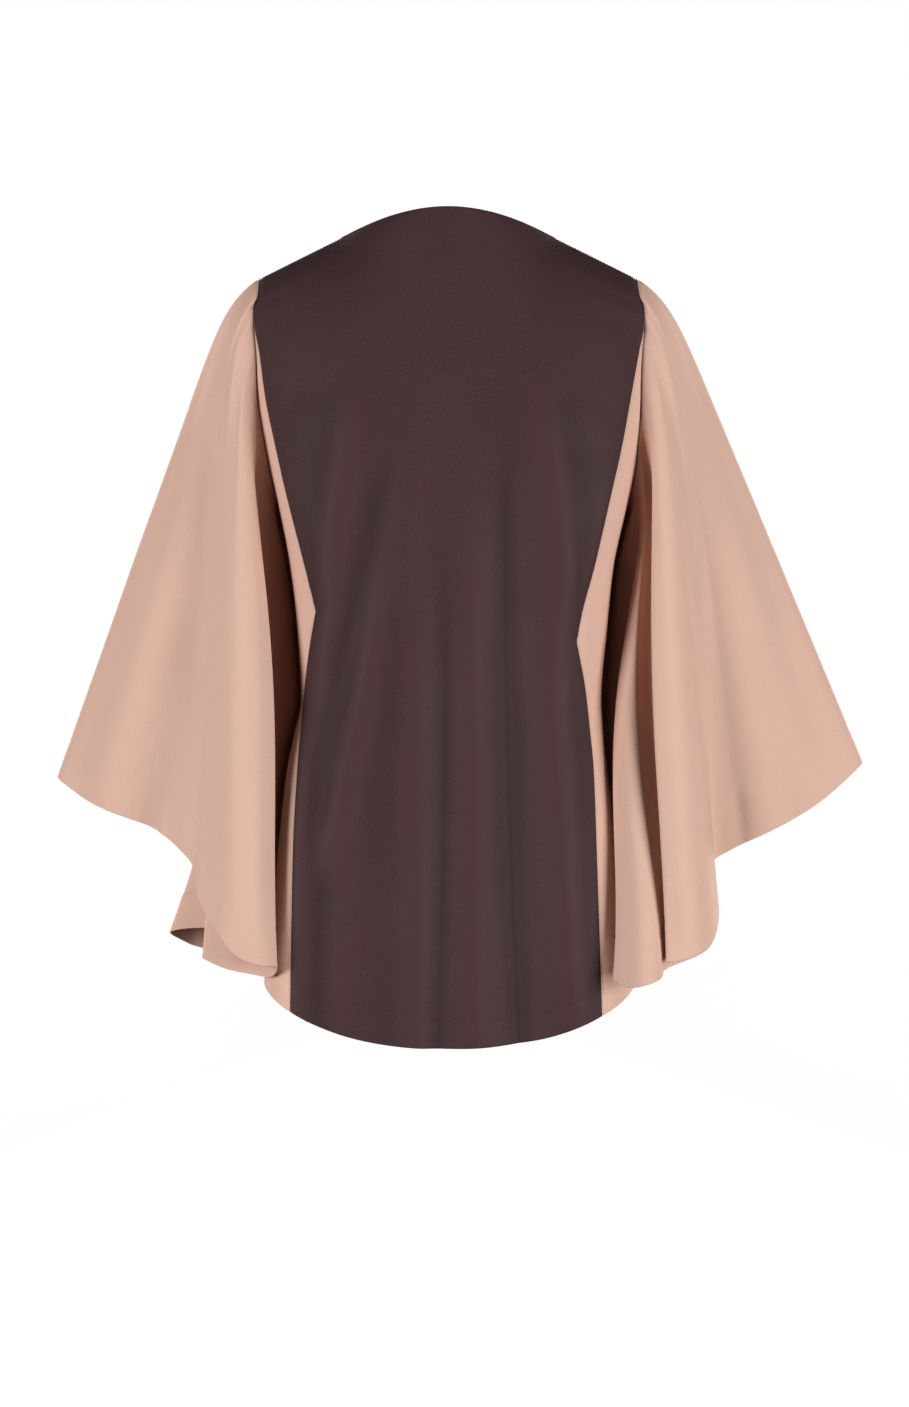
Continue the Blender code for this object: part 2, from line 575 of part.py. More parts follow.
def wall_object(name, outer, inner, closed, crepe):
    mesh = bpy.data.meshes.new(name)
    work = bmesh.new()
    skins = [[[work.verts.new(point) for point in line] for line in grid] for grid in (outer, inner)]
    rows = len(outer)
    count = len(outer[0])
    spans = range(count if closed else count - 1)
    for skin in skins:
        for row in range(rows - 1):
            for column in spans:
                after = (column + 1) % count
                work.faces.new((skin[row][column], skin[row][after],
                                skin[row + 1][after], skin[row + 1][column]))
    for row in (0, rows - 1):
        for column in spans:
            after = (column + 1) % count
            work.faces.new((skins[0][row][column], skins[0][row][after],
                            skins[1][row][after], skins[1][row][column]))
    if not closed:
        for column in (0, count - 1):
            for row in range(rows - 1):
                work.faces.new((skins[0][row][column], skins[0][row + 1][column],
                                skins[1][row + 1][column], skins[1][row][column]))
    bmesh.ops.recalc_face_normals(work, faces=work.faces)
    work.to_mesh(mesh)
    work.free()
    mesh.materials.append(crepe)
    mesh.shade_smooth()
    mesh.set_sharp_from_angle(angle=math.radians(CREASE_ANGLE))
    piece = bpy.data.objects.new(name, mesh)
    bpy.context.collection.objects.link(piece)
    return piece


def sewn_wall(name, grid, outward, crepe, seams, upright=()):
    # seams names the long seams at the first and last columns, whose edges are cut square to the body
    # and at the columns in upright the top edge is cut upright, to meet its neighbour squarely
    normals = grid_normals(grid, False, outward)
    for line, row in zip(grid, normals):
        for column, (face, side) in zip((0, -1), seams):
            row[column] = seam_normal(face, side, line[column].z)
    for column in upright:
        normals[-1][column].y = 0.0
        normals[-1][column].normalize()
    outer = pull_in(grid, SEAM_GAP / 2)
    inner = pull_in(grid, SEAM_GAP / 2 + EDGE_RELIEF)
    inner = [[point - normal * WALL for point, normal in zip(line, row)]
             for line, row in zip(inner, normals)]
    return wall_object(name, outer, inner, False, crepe)


# The six pieces

def crepe_material(kind):
    name, red, green, blue, roughness = CREPES[kind]
    material = bpy.data.materials.new(name)
    material.use_nodes = True
    material.diffuse_color = (red, green, blue, 1.0)
    shader = material.node_tree.nodes["Principled BSDF"]
    shader.inputs["Base Color"].default_value = (red, green, blue, 1.0)
    shader.inputs["Roughness"].default_value = roughness
    shader.inputs["Metallic"].default_value = 0.0
    return material


def centre_panel(face, columns):
    levels = panel_levels()
    grid = [[panel_point(face, column / columns, level) for column in range(columns + 1)]
            for level in levels]
    shoulder = round(columns * SHOULDER_SHARE)
    upright = [column for column in range(columns + 1) if min(column, columns - column) <= shoulder]
    outward = 1 if face == "back" else -1
    seams = ((face, "left"), (face, "right"))
    return sewn_wall(face + "_panel", grid, outward, crepe_material("dark"), seams, upright)


def side_panel(side):
    shares = [0.5 - 0.5 * math.cos(math.pi * step / SIDE_COLUMNS) for step in range(SIDE_COLUMNS + 1)]
    columns = [[side_point(side, share, level) for level in side_levels(side, share)] for share in shares]
    grid = [list(line) for line in zip(*columns)]
    outward = -1 if side == "left" else 1
    seams = (("back", side), ("front", side))
    return sewn_wall("side_panel_" + side, grid, outward, crepe_material("blush"), seams)


def sleeve(side, rows):
    grid = sleeve_grid(side, rows)
    out = Vector((sign(side), 0.0, 0.0))
    normals = grid_normals(grid, True, -1 if side == "left" else 1)
    inner = [[point - normal * WALL for point, normal in zip(line, row)]
             for line, row in zip(grid, normals)]
    for column, point in enumerate(grid[0]):
        # the cut end at the armhole never leans back towards the body
        shift = inner[0][column] - point
        toward_body = min(shift.dot(out), 0.0)
        shift -= out * toward_body
        inner[0][column] = point + shift.normalized() * WALL
    return wall_object("sleeve_" + side, grid, inner, True, crepe_material("blush"))


def build():
    centre_panel("back", BACK_COLUMNS)
    centre_panel("front", FRONT_COLUMNS)
    side_panel("left")
    side_panel("right")
    sleeve("left", LEFT_SLEEVE)
    sleeve("right", RIGHT_SLEEVE)


build()
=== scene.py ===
import math

import bmesh
import bpy
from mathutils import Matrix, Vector


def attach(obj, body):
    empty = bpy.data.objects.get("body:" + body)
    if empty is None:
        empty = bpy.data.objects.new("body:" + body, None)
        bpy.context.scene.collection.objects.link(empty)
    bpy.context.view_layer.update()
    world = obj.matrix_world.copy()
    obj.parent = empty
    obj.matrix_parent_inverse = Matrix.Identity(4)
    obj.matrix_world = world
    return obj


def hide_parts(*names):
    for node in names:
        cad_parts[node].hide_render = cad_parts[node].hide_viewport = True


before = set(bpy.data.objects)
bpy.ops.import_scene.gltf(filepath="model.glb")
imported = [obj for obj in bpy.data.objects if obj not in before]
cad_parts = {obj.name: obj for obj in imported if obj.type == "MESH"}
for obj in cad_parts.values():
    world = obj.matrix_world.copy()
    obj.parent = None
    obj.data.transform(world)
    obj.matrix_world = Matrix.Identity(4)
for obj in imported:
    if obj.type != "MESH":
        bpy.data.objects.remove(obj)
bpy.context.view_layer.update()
print("cape top: frame loaded")

# Metres, +Z up. The wearer faces +Y and the camera looks along +Y at the back.


# Plain helpers for curves

def mix(first, last, share):
    return first + (last - first) * share


def sign(side):
    return -1.0 if side == "left" else 1.0


def ease(value):
    value = min(1.0, max(0.0, value))
    return value * value * (3 - 2 * value)


def spread(start, end, count):
    # even steps from start up to, but not reaching, end
    return [mix(start, end, step / count) for step in range(count)]


def secant(rows, index, column):
    rise = rows[index + 1][column] - rows[index][column]
    return rise / (rows[index + 1][0] - rows[index][0])


def slope(rows, index, column):
    if index == 0:
        return secant(rows, 0, column)
    if index == len(rows) - 1:
        return secant(rows, index - 1, column)
    before = secant(rows, index - 1, column)
    after = secant(rows, index, column)
    if before * after <= 0.0:
        return 0.0
    return 2.0 * before * after / (before + after)


def smoothCurve(rows, height, column=1):
    # a smooth curve through a table whose first column falls, without overshoot
    height = min(max(height, rows[-1][0]), rows[0][0])
    index = 0
    while index < len(rows) - 2 and height < rows[index + 1][0]:
        index += 1
    start, end = rows[index], rows[index + 1]
    step = end[0] - start[0]
    t = (height - start[0]) / step
    value = start[column] * (1 + 2 * t) * (1 - t) ** 2 + end[column] * t * t * (3 - 2 * t)
    value += slope(rows, index, column) * step * t * (1 - t) ** 2
    value -= slope(rows, index + 1, column) * step * t * t * (1 - t)
    return value


def roundCurve(rows, index, part):
    # a smooth closed curve through rows of numbers, evenly paced between uneven points
    count = len(rows)
    four = [rows[(index + step) % count] for step in (-1, 0, 1, 2)]
    knots = [0.0]
    for before, after in zip(four, four[1:]):
        gap = Vector(after[:3]) - Vector(before[:3])
        knots.append(knots[-1] + math.sqrt(max(gap.length, 1e-6)))
    t = mix(knots[1], knots[2], part)
    values = [list(row) for row in four]
    for degree in (1, 2, 3):
        for place in range(4 - degree):
            low = knots[place] if degree < 3 else knots[1]
            high = knots[place + degree] if degree < 3 else knots[2]
            share = (t - low) / (high - low)
            values[place] = [mix(a, b, share) for a, b in zip(values[place], values[place + 1])]
    return values[0]


# The form that the worn top is filled out to

form = {
    "frontSquareness": 2.35,  # of the front's section: 2 is an ellipse, more is squarer
    "hemSquareness": 2.35,    # of the curve that the hem rises on
    "chestHeight": -0.190,
    "hemReference": -0.660,
    "sideHem": -0.648,
    "backHem": -0.703,
    "frontHem": -0.676,
    "hemPower": 1.8,
    "crestHeight": 0.0018,    # a crest this high above its surroundings gets the most painted light, and a hollow this deep the most painted shade
    "crestReach": 8,          # columns to each side that count as its surroundings
    "creaseStart": 0.35,      # share of a crease over which it grows to its full rise
    "creaseFade": 0.060,      # how far below its end it dies out
    # height, half width left, half width right, depth of the back, depth of the front,
    # squareness of the back's left half and of its right half
    "sections": (
        (-0.035, 0.1660, 0.1660, 0.060, 0.055, 2.35, 2.35),
        (-0.075, 0.1780, 0.1800, 0.078, 0.078, 2.35, 2.35),
        (-0.133, 0.1735, 0.1790, 0.089, 0.101, 2.40, 2.40),
        (-0.186, 0.1605, 0.1685, 0.094, 0.112, 3.10, 3.10),
        (-0.239, 0.1475, 0.1560, 0.095, 0.116, 4.20, 4.20),
        (-0.291, 0.1375, 0.1445, 0.093, 0.112, 4.50, 4.50),
        (-0.344, 0.1315, 0.1390, 0.088, 0.101, 4.60, 4.60),
        (-0.406, 0.1280, 0.1340, 0.084, 0.092, 4.80, 4.60),
        (-0.432, 0.1330, 0.1355, 0.085, 0.093, 5.40, 4.80),
        (-0.468, 0.1400, 0.1390, 0.089, 0.097, 6.60, 5.00),
        (-0.520, 0.1455, 0.1460, 0.096, 0.104, 8.00, 5.20),
        (-0.600, 0.1528, 0.1555, 0.104, 0.111, 8.60, 5.20),
        (-0.652, 0.1590, 0.1635, 0.107, 0.116, 8.60, 5.20),
        (-0.710, 0.1640, 0.1690, 0.107, 0.120, 8.60, 5.00),
    ),
    # long seams beside the dark panels: height, distance from the middle
    "seams": {
        ("back", "left"): (
            (-0.035, 0.166), (-0.053, 0.1665), (-0.065, 0.1700), (-0.078, 0.1695),
            (-0.105, 0.1645), (-0.139, 0.160), (-0.191, 0.149), (-0.225, 0.141),
            (-0.260, 0.132), (-0.294, 0.123), (-0.330, 0.114), (-0.356, 0.119),
            (-0.397, 0.125), (-0.432, 0.128), (-0.466, 0.130), (-0.535, 0.133),
            (-0.710, 0.135),
        ),
        ("back", "right"): (
            (-0.035, 0.166), (-0.052, 0.1675), (-0.066, 0.1715), (-0.080, 0.1715),
            (-0.100, 0.1675), (-0.139, 0.160), (-0.191, 0.150), (-0.225, 0.142),
            (-0.260, 0.134), (-0.294, 0.126), (-0.330, 0.116), (-0.356, 0.111),
            (-0.397, 0.119), (-0.432, 0.123), (-0.466, 0.126), (-0.535, 0.128),
            (-0.710, 0.133),
        ),
        ("front", "both"): (
            (-0.035, 0.166), (-0.075, 0.168), (-0.105, 0.164), (-0.139, 0.159),
            (-0.191, 0.149), (-0.225, 0.141), (-0.260, 0.132), (-0.294, 0.124),
            (-0.343, 0.113), (-0.397, 0.121), (-0.466, 0.128), (-0.535, 0.130),
            (-0.710, 0.134),
        ),
    },
}


def halfWidth(side, height):
    return smoothCurve(form["sections"], height, 1 if side == "left" else 2)


def bodyDepth(face, height):
    return smoothCurve(form["sections"], height, 3 if face == "back" else 4)


def squareness(face, side, height):
    if face == "front":
        return form["frontSquareness"]
    return smoothCurve(form["sections"], height, 5 if side == "left" else 6)


def ringPoint(angle, height):
    # a point of the body's section, at an angle round from +X
    face = "back" if math.sin(angle) < 0 else "front"
    side = "left" if math.cos(angle) < 0 else "right"
    half = halfWidth(side, height)
    depth = bodyDepth(face, height)
    power = squareness(face, side, height)
    across = abs(math.cos(angle)) / half
    along = abs(math.sin(angle)) / depth
    radius = (across ** power + along ** power) ** (-1 / power)
    return Vector((radius * math.cos(angle), radius * math.sin(angle), height))


def seamRows(face, side):
    return form["seams"].get((face, side)) or form["seams"][("front", "both")]


def waistCorner(face, side):
    # height of the corner that the long seam has at its narrowest
    return min(seamRows(face, side), key=lambda row: row[1])[0]


def seamPoint(face, side, height):
    rows = seamRows(face, side)
    corner = waistCorner(face, side)
    part = [row for row in rows if (row[0] >= corner if height >= corner else row[0] <= corner)]
    half = halfWidth(side, height)
    depth = bodyDepth(face, height)
    power = squareness(face, side, height)
    across = min(smoothCurve(part, height), half)
    along = depth * (1 - (across / half) ** power) ** (1 / power)
    return Vector((sign(side) * across, -along if face == "back" else along, height))


def seamAngle(face, side, height):
    point = seamPoint(face, side, height)
    return math.atan2(point.y, point.x)


def seamNormal(face, side, height):
    # straight out of the body at a long seam, the same for the cloth on both sides of it
    angle = seamAngle(face, side, height)
    turn, lift = 0.02, 0.004
    around = ringPoint(angle + turn, height) - ringPoint(angle - turn, height)
    upward = ringPoint(angle, height + lift) - ringPoint(angle, height - lift)
    return around.cross(upward).normalized()


def hemHeight(angle):
    reference = form["hemReference"]
    point = ringPoint(angle, reference)
    across = min(1.0, abs(point.x) / halfWidth("left" if point.x < 0 else "right", reference))
    middle = (1 - across ** form["hemSquareness"]) ** (1 / form["hemSquareness"])
    lowest = form["backHem"] if point.y < 0 else form["frontHem"]
    return mix(form["sideHem"], lowest, middle ** form["hemPower"])


def creaseOffset(creases, x, height):
    # how far the creases push the cloth outwards at a place
    total = 0.0
    for _, startX, startHeight, endX, endHeight, bend, rise, widthLeft, widthRight, power in creases:
        along = (startHeight - height) / (startHeight - endHeight)
        if along <= 0.0:
            continue
        strength = ease(along / form["creaseStart"])
        if height < endHeight:
            strength *= max(0.0, 1 - (endHeight - height) / form["creaseFade"])
        centre = mix(startX, endX, along) + bend * math.sin(math.pi * min(1.0, along))
        width = widthLeft if x < centre else widthRight
        total += rise * strength * math.exp(-abs((x - centre) / width) ** power)
    return total


def crestShares(pushes, closed):
    # from -1 in a hollow to 1 on a crest: each push against the mean of its neighbours in the row
    reach = form["crestReach"]
    rows = []
    for line in pushes:
        count = len(line)
        shares = []
        for column in range(count):
            near = [(column + step) % count if closed else min(max(column + step, 0), count - 1)
                    for step in range(-reach, reach + 1)]
            mean = sum(line[place] for place in near) / len(near)
            shares.append(max(-1.0, min(1.0, (line[column] - mean) / form["crestHeight"])))
        rows.append(shares)
    return rows


# Cloth walls: rows run from the hem up, and lists by row and column say how thick they are

cloth = {
    "wall": 0.0009,
    "leastWall": 0.0002,      # left at the bottom of a groove
    "hemExtra": 0.0006,       # the turned-in layer
    "seamExtra": 0.0005,      # the pressed-open allowance
    "grooveDepth": 0.0009,
    "grooveWidth": 0.0017,
    "imprint": 0.00030,       # the hem's edge, pressed through to the face
    "imprintWidth": 0.0020,
    "edgeRoundness": 0.9,     # of a folded edge: 1 is a full half circle
    # distances from an edge at which points lie, in metres
    "seamSteps": (0, 0.0004, 0.0010, 0.0018, 0.0030, 0.0045, 0.0065, 0.0090, 0.0098, 0.0106, 0.0135),
    "bodyHemSteps": (0, 0.0002, 0.0005, 0.0010, 0.0020, 0.0045, 0.0080, 0.0120, 0.0160, 0.0188,
                     0.0196, 0.0204, 0.0215, 0.0250),
    "bodyHem": 0.0200,
    "sleeveHemSteps": (0, 0.0002, 0.0005, 0.0010, 0.0020, 0.0045, 0.0080, 0.0120, 0.0165, 0.0210,
                       0.0255, 0.0300, 0.0332, 0.0344, 0.0356, 0.0372, 0.0400, 0.0440),
    "sleeveHem": 0.0350,
    "seamAllowance": 0.0094,
    "sharpFrom": math.radians(60),
}


def roundedEdge(distance, thickness):
    # how far the face sinks beside a folded edge
    radius = thickness / 2
    if distance >= radius:
        return 0.0
    return cloth["edgeRoundness"] * (radius - math.sqrt(radius ** 2 - (radius - distance) ** 2))


def groove(distance):
    return cloth["grooveDepth"] * math.exp(-(distance / cloth["grooveWidth"]) ** 2)


def hemImprint(distance, depth):
    return cloth["imprint"] * math.exp(-((distance - depth) / cloth["imprintWidth"]) ** 2)


def gridNormals(grid, closed, outward):
    # outward is 1 or -1 and turns every normal out of the cloth
    normals = []
    lastRow = len(grid) - 1
    for row, line in enumerate(grid):
        count = len(line)
        out = []
        for column in range(count):
            before = line[(column - 1) % count] if closed else line[max(column - 1, 0)]
            after = line[(column + 1) % count] if closed else line[min(column + 1, count - 1)]
            below = grid[max(row - 1, 0)][column]
            above = grid[min(row + 1, lastRow)][column]
            out.append((after - before).cross(above - below).normalized() * outward)
        normals.append(out)
    return normals


def addPiece(name, work, material):
    mesh = bpy.data.meshes.new(name)
    work.to_mesh(mesh)
    work.free()
    mesh.materials.append(material)
    piece = bpy.data.objects.new(name, mesh)
    bpy.context.collection.objects.link(piece)
    return piece


def clothWall(name, grid, normals, depths, closed, flat, crests, material):
    # one closed wall; depths say how deep the face and the back of the cloth lie under each point,
    # and flat holds the place of each point in the uncut cloth
    work = bmesh.new()
    skins = [[[work.verts.new(point - normal * depth[skin])
               for point, normal, depth in zip(*lines)]
              for lines in zip(grid, normals, depths)] for skin in (0, 1)]
    laid = work.loops.layers.uv.new("cloth")
    rows = len(grid)
    count = len(grid[0])
    spans = range(count if closed else count - 1)

    def addFace(corners):
        face = work.faces.new([skins[skin][row][column % count] for skin, row, column in corners])
        face.smooth = True
        for loop, (_, row, column) in zip(face.loops, corners):
            loop[laid].uv = flat(row, column)

    for skin in (0, 1):
        for row in range(rows - 1):
            for column in spans:
                corners = [(skin, row, column), (skin, row, column + 1),
                           (skin, row + 1, column + 1), (skin, row + 1, column)]
                addFace(corners if skin == 0 else corners[::-1])
    for row in (0, rows - 1):
        for column in spans:
            corners = [(0, row, column + 1), (0, row, column), (1, row, column), (1, row, column + 1)]
            addFace(corners if row == 0 else corners[::-1])
    if not closed:
        for column in (0, count - 1):
            for row in range(rows - 1):
                corners = [(0, row, column), (0, row + 1, column),
                           (1, row + 1, column), (1, row, column)]
                addFace(corners if column == 0 else corners[::-1])
    if work.calc_volume(signed=True) < 0:
        bmesh.ops.reverse_faces(work, faces=work.faces)
    piece = addPiece(name, work, material)
    # each point's crest share, by which the crepe paints shade into the hollows of folds and light
    # onto their crests
    foldShadeMap = piece.data.attributes.new("crest", "FLOAT", "POINT")
    foldShadeMap.data.foreach_set("value", [value for line in crests for value in line] * 2)
    piece.data.set_sharp_from_angle(angle=cloth["sharpFrom"])
    return piece


def lengthsAlong(points):
    lengths = [0.0]
    for before, after in zip(points, points[1:]):
        lengths.append(lengths[-1] + (after - before).length)
    return lengths


def panelLaidFlat(grid):
    # across from the middle of each row, and up from the hem
    acrossRows = [lengthsAlong(line) for line in grid]
    upColumns = [lengthsAlong(list(column)) for column in zip(*grid)]

    def flat(row, column):
        return acrossRows[row][column] - acrossRows[row][-1] / 2, upColumns[column][row]
    return flat


def clothArea(grid, closed):
    total = 0.0
    for low, high in zip(grid, grid[1:]):
        count = len(low)
        for column in range(count if closed else count - 1):
            after = (column + 1) % count
            total += ((low[after] - low[column]).cross(high[column] - low[column])).length / 2
            total += ((high[after] - high[column]).cross(high[after] - low[after])).length / 2
    return total


# Crepe

def linear(hexColour):
    # sRGB hex to linear red, green, blue
    parts = [int(hexColour[place:place + 2], 16) / 255 for place in (1, 3, 5)]
    return [part / 12.92 if part <= 0.04045 else ((part + 0.055) / 1.055) ** 2.4 for part in parts]


def setNode(tree, node, settings, links):
    # settings are attributes, or socket values by name or number, and links go to sockets
    for key, value in settings.items():
        if isinstance(key, str) and hasattr(node, key):
            setattr(node, key, value)
        else:
            node.inputs[key].default_value = value
    for key, socket in links.items():
        tree.links.new(socket, node.inputs[key])
    return node


def addNode(tree, kind, settings, links):
    return setNode(tree, tree.nodes.new(kind), settings, links)


def newMaterial(name):
    material = bpy.data.materials.new(name)
    material.use_nodes = True
    return material, material.node_tree, material.node_tree.nodes["Principled BSDF"]


# Heavy polyester crepe: hard-twisted yarns shrink into a fine pebble that stays matt and kills the
# shine. The real pebble is about 0.5 mm across; it is drawn at 1.1 mm so that it shows in the render.
weave = {
    "pebble": 0.0011,
    "smoothness": 0.8,        # of the pebble's cells
    "yarnScale": 0.8,         # of the yarn's noise, for one pebble a metre
    "yarnDetail": 3.0,
    "yarnRoughness": 0.6,
    "yarnShare": 0.6,         # of the yarn's noise in the pebble
    "yarnRange": (0.3, 0.7),
    "cloudDetail": 2.0,
    "cloudShare": 0.35,       # of the slow change in dye
    "toneRange": (0.45, 1.15),
    "thread": 0.0009,
    "threadHeight": 0.00003,
    "bands": (("X", 0.31), ("Y", 0.29)),  # warp and weft: wave scale for one thread a metre
    "waver": 2.5,             # how far the threads stray from straight
    "waverDetail": 1.0,
    "waverScale": 0.5,
    "threadBump": 0.6,
    "pebbleBump": 0.8,
    "roughRange": (-0.05, 0.06),
    "sheenRoughness": 0.45,
    "ior": 1.5,               # polyester
}
darkCrepe = {
    "name": "aubergine heavy crepe",
    "colour": "#3c2729",
    "shade": 0.80,            # how dark the hollows of the pebble are
    "light": 1.24,            # and how pale its tops
    "foldShading": 0.70,             # crests of folds are painted paler than hollows, as painted light and shade
    "pebbleHeight": 0.00012,
    "cloudSize": 0.045,
    "roughness": 0.64,
    "specular": 0.18,
    "sheen": 0.03,
    "sheenTint": "#8a7478",
}
blushCrepe = {
    "name": "blush heavy crepe",
    "colour": "#cfa998",
    "shade": 0.955,
    "light": 1.035,
    # painted shade in the hollows of folds and painted light on their crests, weaker than on the dark
    # crepe
    "foldShading": 0.45,
    "pebbleHeight": 0.00010,
    "cloudSize": 0.060,
    "roughness": 0.84,
    "specular": 0.25,
    "sheen": 0.08,
    "sheenTint": "#f0d6c8",
}


def crepe(values):
    material, tree, shader = newMaterial(values["name"])
    colour = linear(values["colour"])
    dark = [part * values["shade"] for part in colour]
    light = [part * values["light"] for part in colour]
    place = addNode(tree, "ShaderNodeTexCoord", {}, {})
    pebble = addNode(tree, "ShaderNodeTexVoronoi",
                     {"feature": "SMOOTH_F1", "Scale": 1 / weave["pebble"],
                      "Smoothness": weave["smoothness"]},
                     {"Vector": place.outputs["Object"]})
    yarn = addNode(tree, "ShaderNodeTexNoise",
                   {"Scale": weave["yarnScale"] / weave["pebble"], "Detail": weave["yarnDetail"],
                    "Roughness": weave["yarnRoughness"]},
                   {"Vector": place.outputs["Object"]})
    cloud = addNode(tree, "ShaderNodeTexNoise",
                    {"Scale": 1 / values["cloudSize"], "Detail": weave["cloudDetail"]},
                    {"Vector": place.outputs["Object"]})
    warp, weft = [addNode(tree, "ShaderNodeTexWave",
                          {"bands_direction": axis, "Scale": scale / weave["thread"],
                           "Distortion": weave["waver"], "Detail": weave["waverDetail"],
                           "Detail Scale": weave["waverScale"]},
                          {"Vector": place.outputs["UV"]})
                  for axis, scale in weave["bands"]]
    speckle = addNode(tree, "ShaderNodeMath", {"operation": "MULTIPLY_ADD", 1: weave["yarnShare"]},
                      {0: yarn.outputs["Fac"], 2: pebble.outputs["Distance"]})
    clouded = addNode(tree, "ShaderNodeMath", {"operation": "MULTIPLY_ADD", 1: weave["cloudShare"]},
                      {0: cloud.outputs["Fac"], 2: speckle.outputs["Value"]})
    tone = addNode(tree, "ShaderNodeMapRange",
                   {"From Min": weave["toneRange"][0], "From Max": weave["toneRange"][1]},
                   {"Value": clouded.outputs["Value"]})
    # painted shade and light: the dye is darkened in the hollows of folds and paled on their crests
    crest = addNode(tree, "ShaderNodeAttribute", {"attribute_name": "crest"}, {})
    foldShaded = addNode(tree, "ShaderNodeMath",
                   {"operation": "MULTIPLY_ADD", "use_clamp": True, 1: values["foldShading"]},
                   {0: crest.outputs["Fac"], 2: tone.outputs["Result"]})
    dye = addNode(tree, "ShaderNodeMix", {"data_type": "RGBA", 6: (*dark, 1.0), 7: (*light, 1.0)},
                  {0: foldShaded.outputs["Value"]})
    threads = addNode(tree, "ShaderNodeMath", {"operation": "ADD"},
                      {0: warp.outputs["Fac"], 1: weft.outputs["Fac"]})
    woven = addNode(tree, "ShaderNodeBump",
                    {"Strength": weave["threadBump"], "Distance": weave["threadHeight"]},
                    {"Height": threads.outputs["Value"]})
    pebbled = addNode(tree, "ShaderNodeBump",
                      {"Strength": weave["pebbleBump"], "Distance": values["pebbleHeight"]},
                      {"Height": speckle.outputs["Value"], "Normal": woven.outputs["Normal"]})
    rough = addNode(tree, "ShaderNodeMapRange",
                    {"From Min": weave["yarnRange"][0], "From Max": weave["yarnRange"][1],
                     "To Min": values["roughness"] + weave["roughRange"][0],
                     "To Max": values["roughness"] + weave["roughRange"][1]},
                    {"Value": yarn.outputs["Fac"]})
    setNode(tree, shader,
            {"Sheen Weight": values["sheen"], "Sheen Roughness": weave["sheenRoughness"],
             "Sheen Tint": (*linear(values["sheenTint"]), 1.0),
             "Specular IOR Level": values["specular"], "IOR": weave["ior"]},
            {"Base Color": dye.outputs[2], "Roughness": rough.outputs["Result"],
             "Normal": pebbled.outputs["Normal"]})
    return material


darkCloth = crepe(darkCrepe)
blushCloth = crepe(blushCrepe)
print("cape top: crepes made")


# Spun polyester sewing thread, dyed a little brighter than the cloth: short fibres twisted in three
# plies, so it is soft to the light with fine slanting grooves. The plies are drawn at 0.5 mm, not
# 0.2, so that they show.
plies = {
    "width": 0.0005,
    "twistScale": 0.31,       # wave scale for one ply a metre
    "twistWaver": 1.0,
    "twistHeight": 0.00005,
    "twistBump": 0.5,
    "fluffScale": 2,          # of the fluff's noise, for one ply a metre
    "fluffDetail": 2.0,
    "shade": 0.7,             # between the plies
    "roughRange": (-0.05, 0.10),
    "sheen": 0.1,
}
darkThread = {
    "name": "aubergine spun polyester thread",
    "colour": "#5a4245",
    "roughness": 0.55,
}
blushThread = {
    "name": "blush spun polyester thread",
    "colour": "#dcb8a6",
    "roughness": 0.60,
}


def spunThread(values):
    material, tree, shader = newMaterial(values["name"])
    colour = linear(values["colour"])
    dark = [part * plies["shade"] for part in colour]
    place = addNode(tree, "ShaderNodeTexCoord", {}, {})
    twist = addNode(tree, "ShaderNodeTexWave",
                    {"bands_direction": "DIAGONAL", "Scale": plies["twistScale"] / plies["width"],
                     "Distortion": plies["twistWaver"]},
                    {"Vector": place.outputs["Object"]})
    fluff = addNode(tree, "ShaderNodeTexNoise",
                    {"Scale": plies["fluffScale"] / plies["width"], "Detail": plies["fluffDetail"]},
                    {"Vector": place.outputs["Object"]})
    dye = addNode(tree, "ShaderNodeMix", {"data_type": "RGBA", 6: (*dark, 1.0), 7: (*colour, 1.0)},
                  {0: twist.outputs["Fac"]})
    twisted = addNode(tree, "ShaderNodeBump",
                      {"Strength": plies["twistBump"], "Distance": plies["twistHeight"]},
                      {"Height": twist.outputs["Fac"]})
    rough = addNode(tree, "ShaderNodeMapRange",
                    {"To Min": values["roughness"] + plies["roughRange"][0],
                     "To Max": values["roughness"] + plies["roughRange"][1]},
                    {"Value": fluff.outputs["Fac"]})
    setNode(tree, shader, {"Sheen Weight": plies["sheen"]},
            {"Base Color": dye.outputs[2], "Roughness": rough.outputs["Result"],
             "Normal": twisted.outputs["Normal"]})
    return material


darkSewing = spunThread(darkThread)
blushSewing = spunThread(blushThread)
print("cape top: threads made")


# Dark panels, back and front

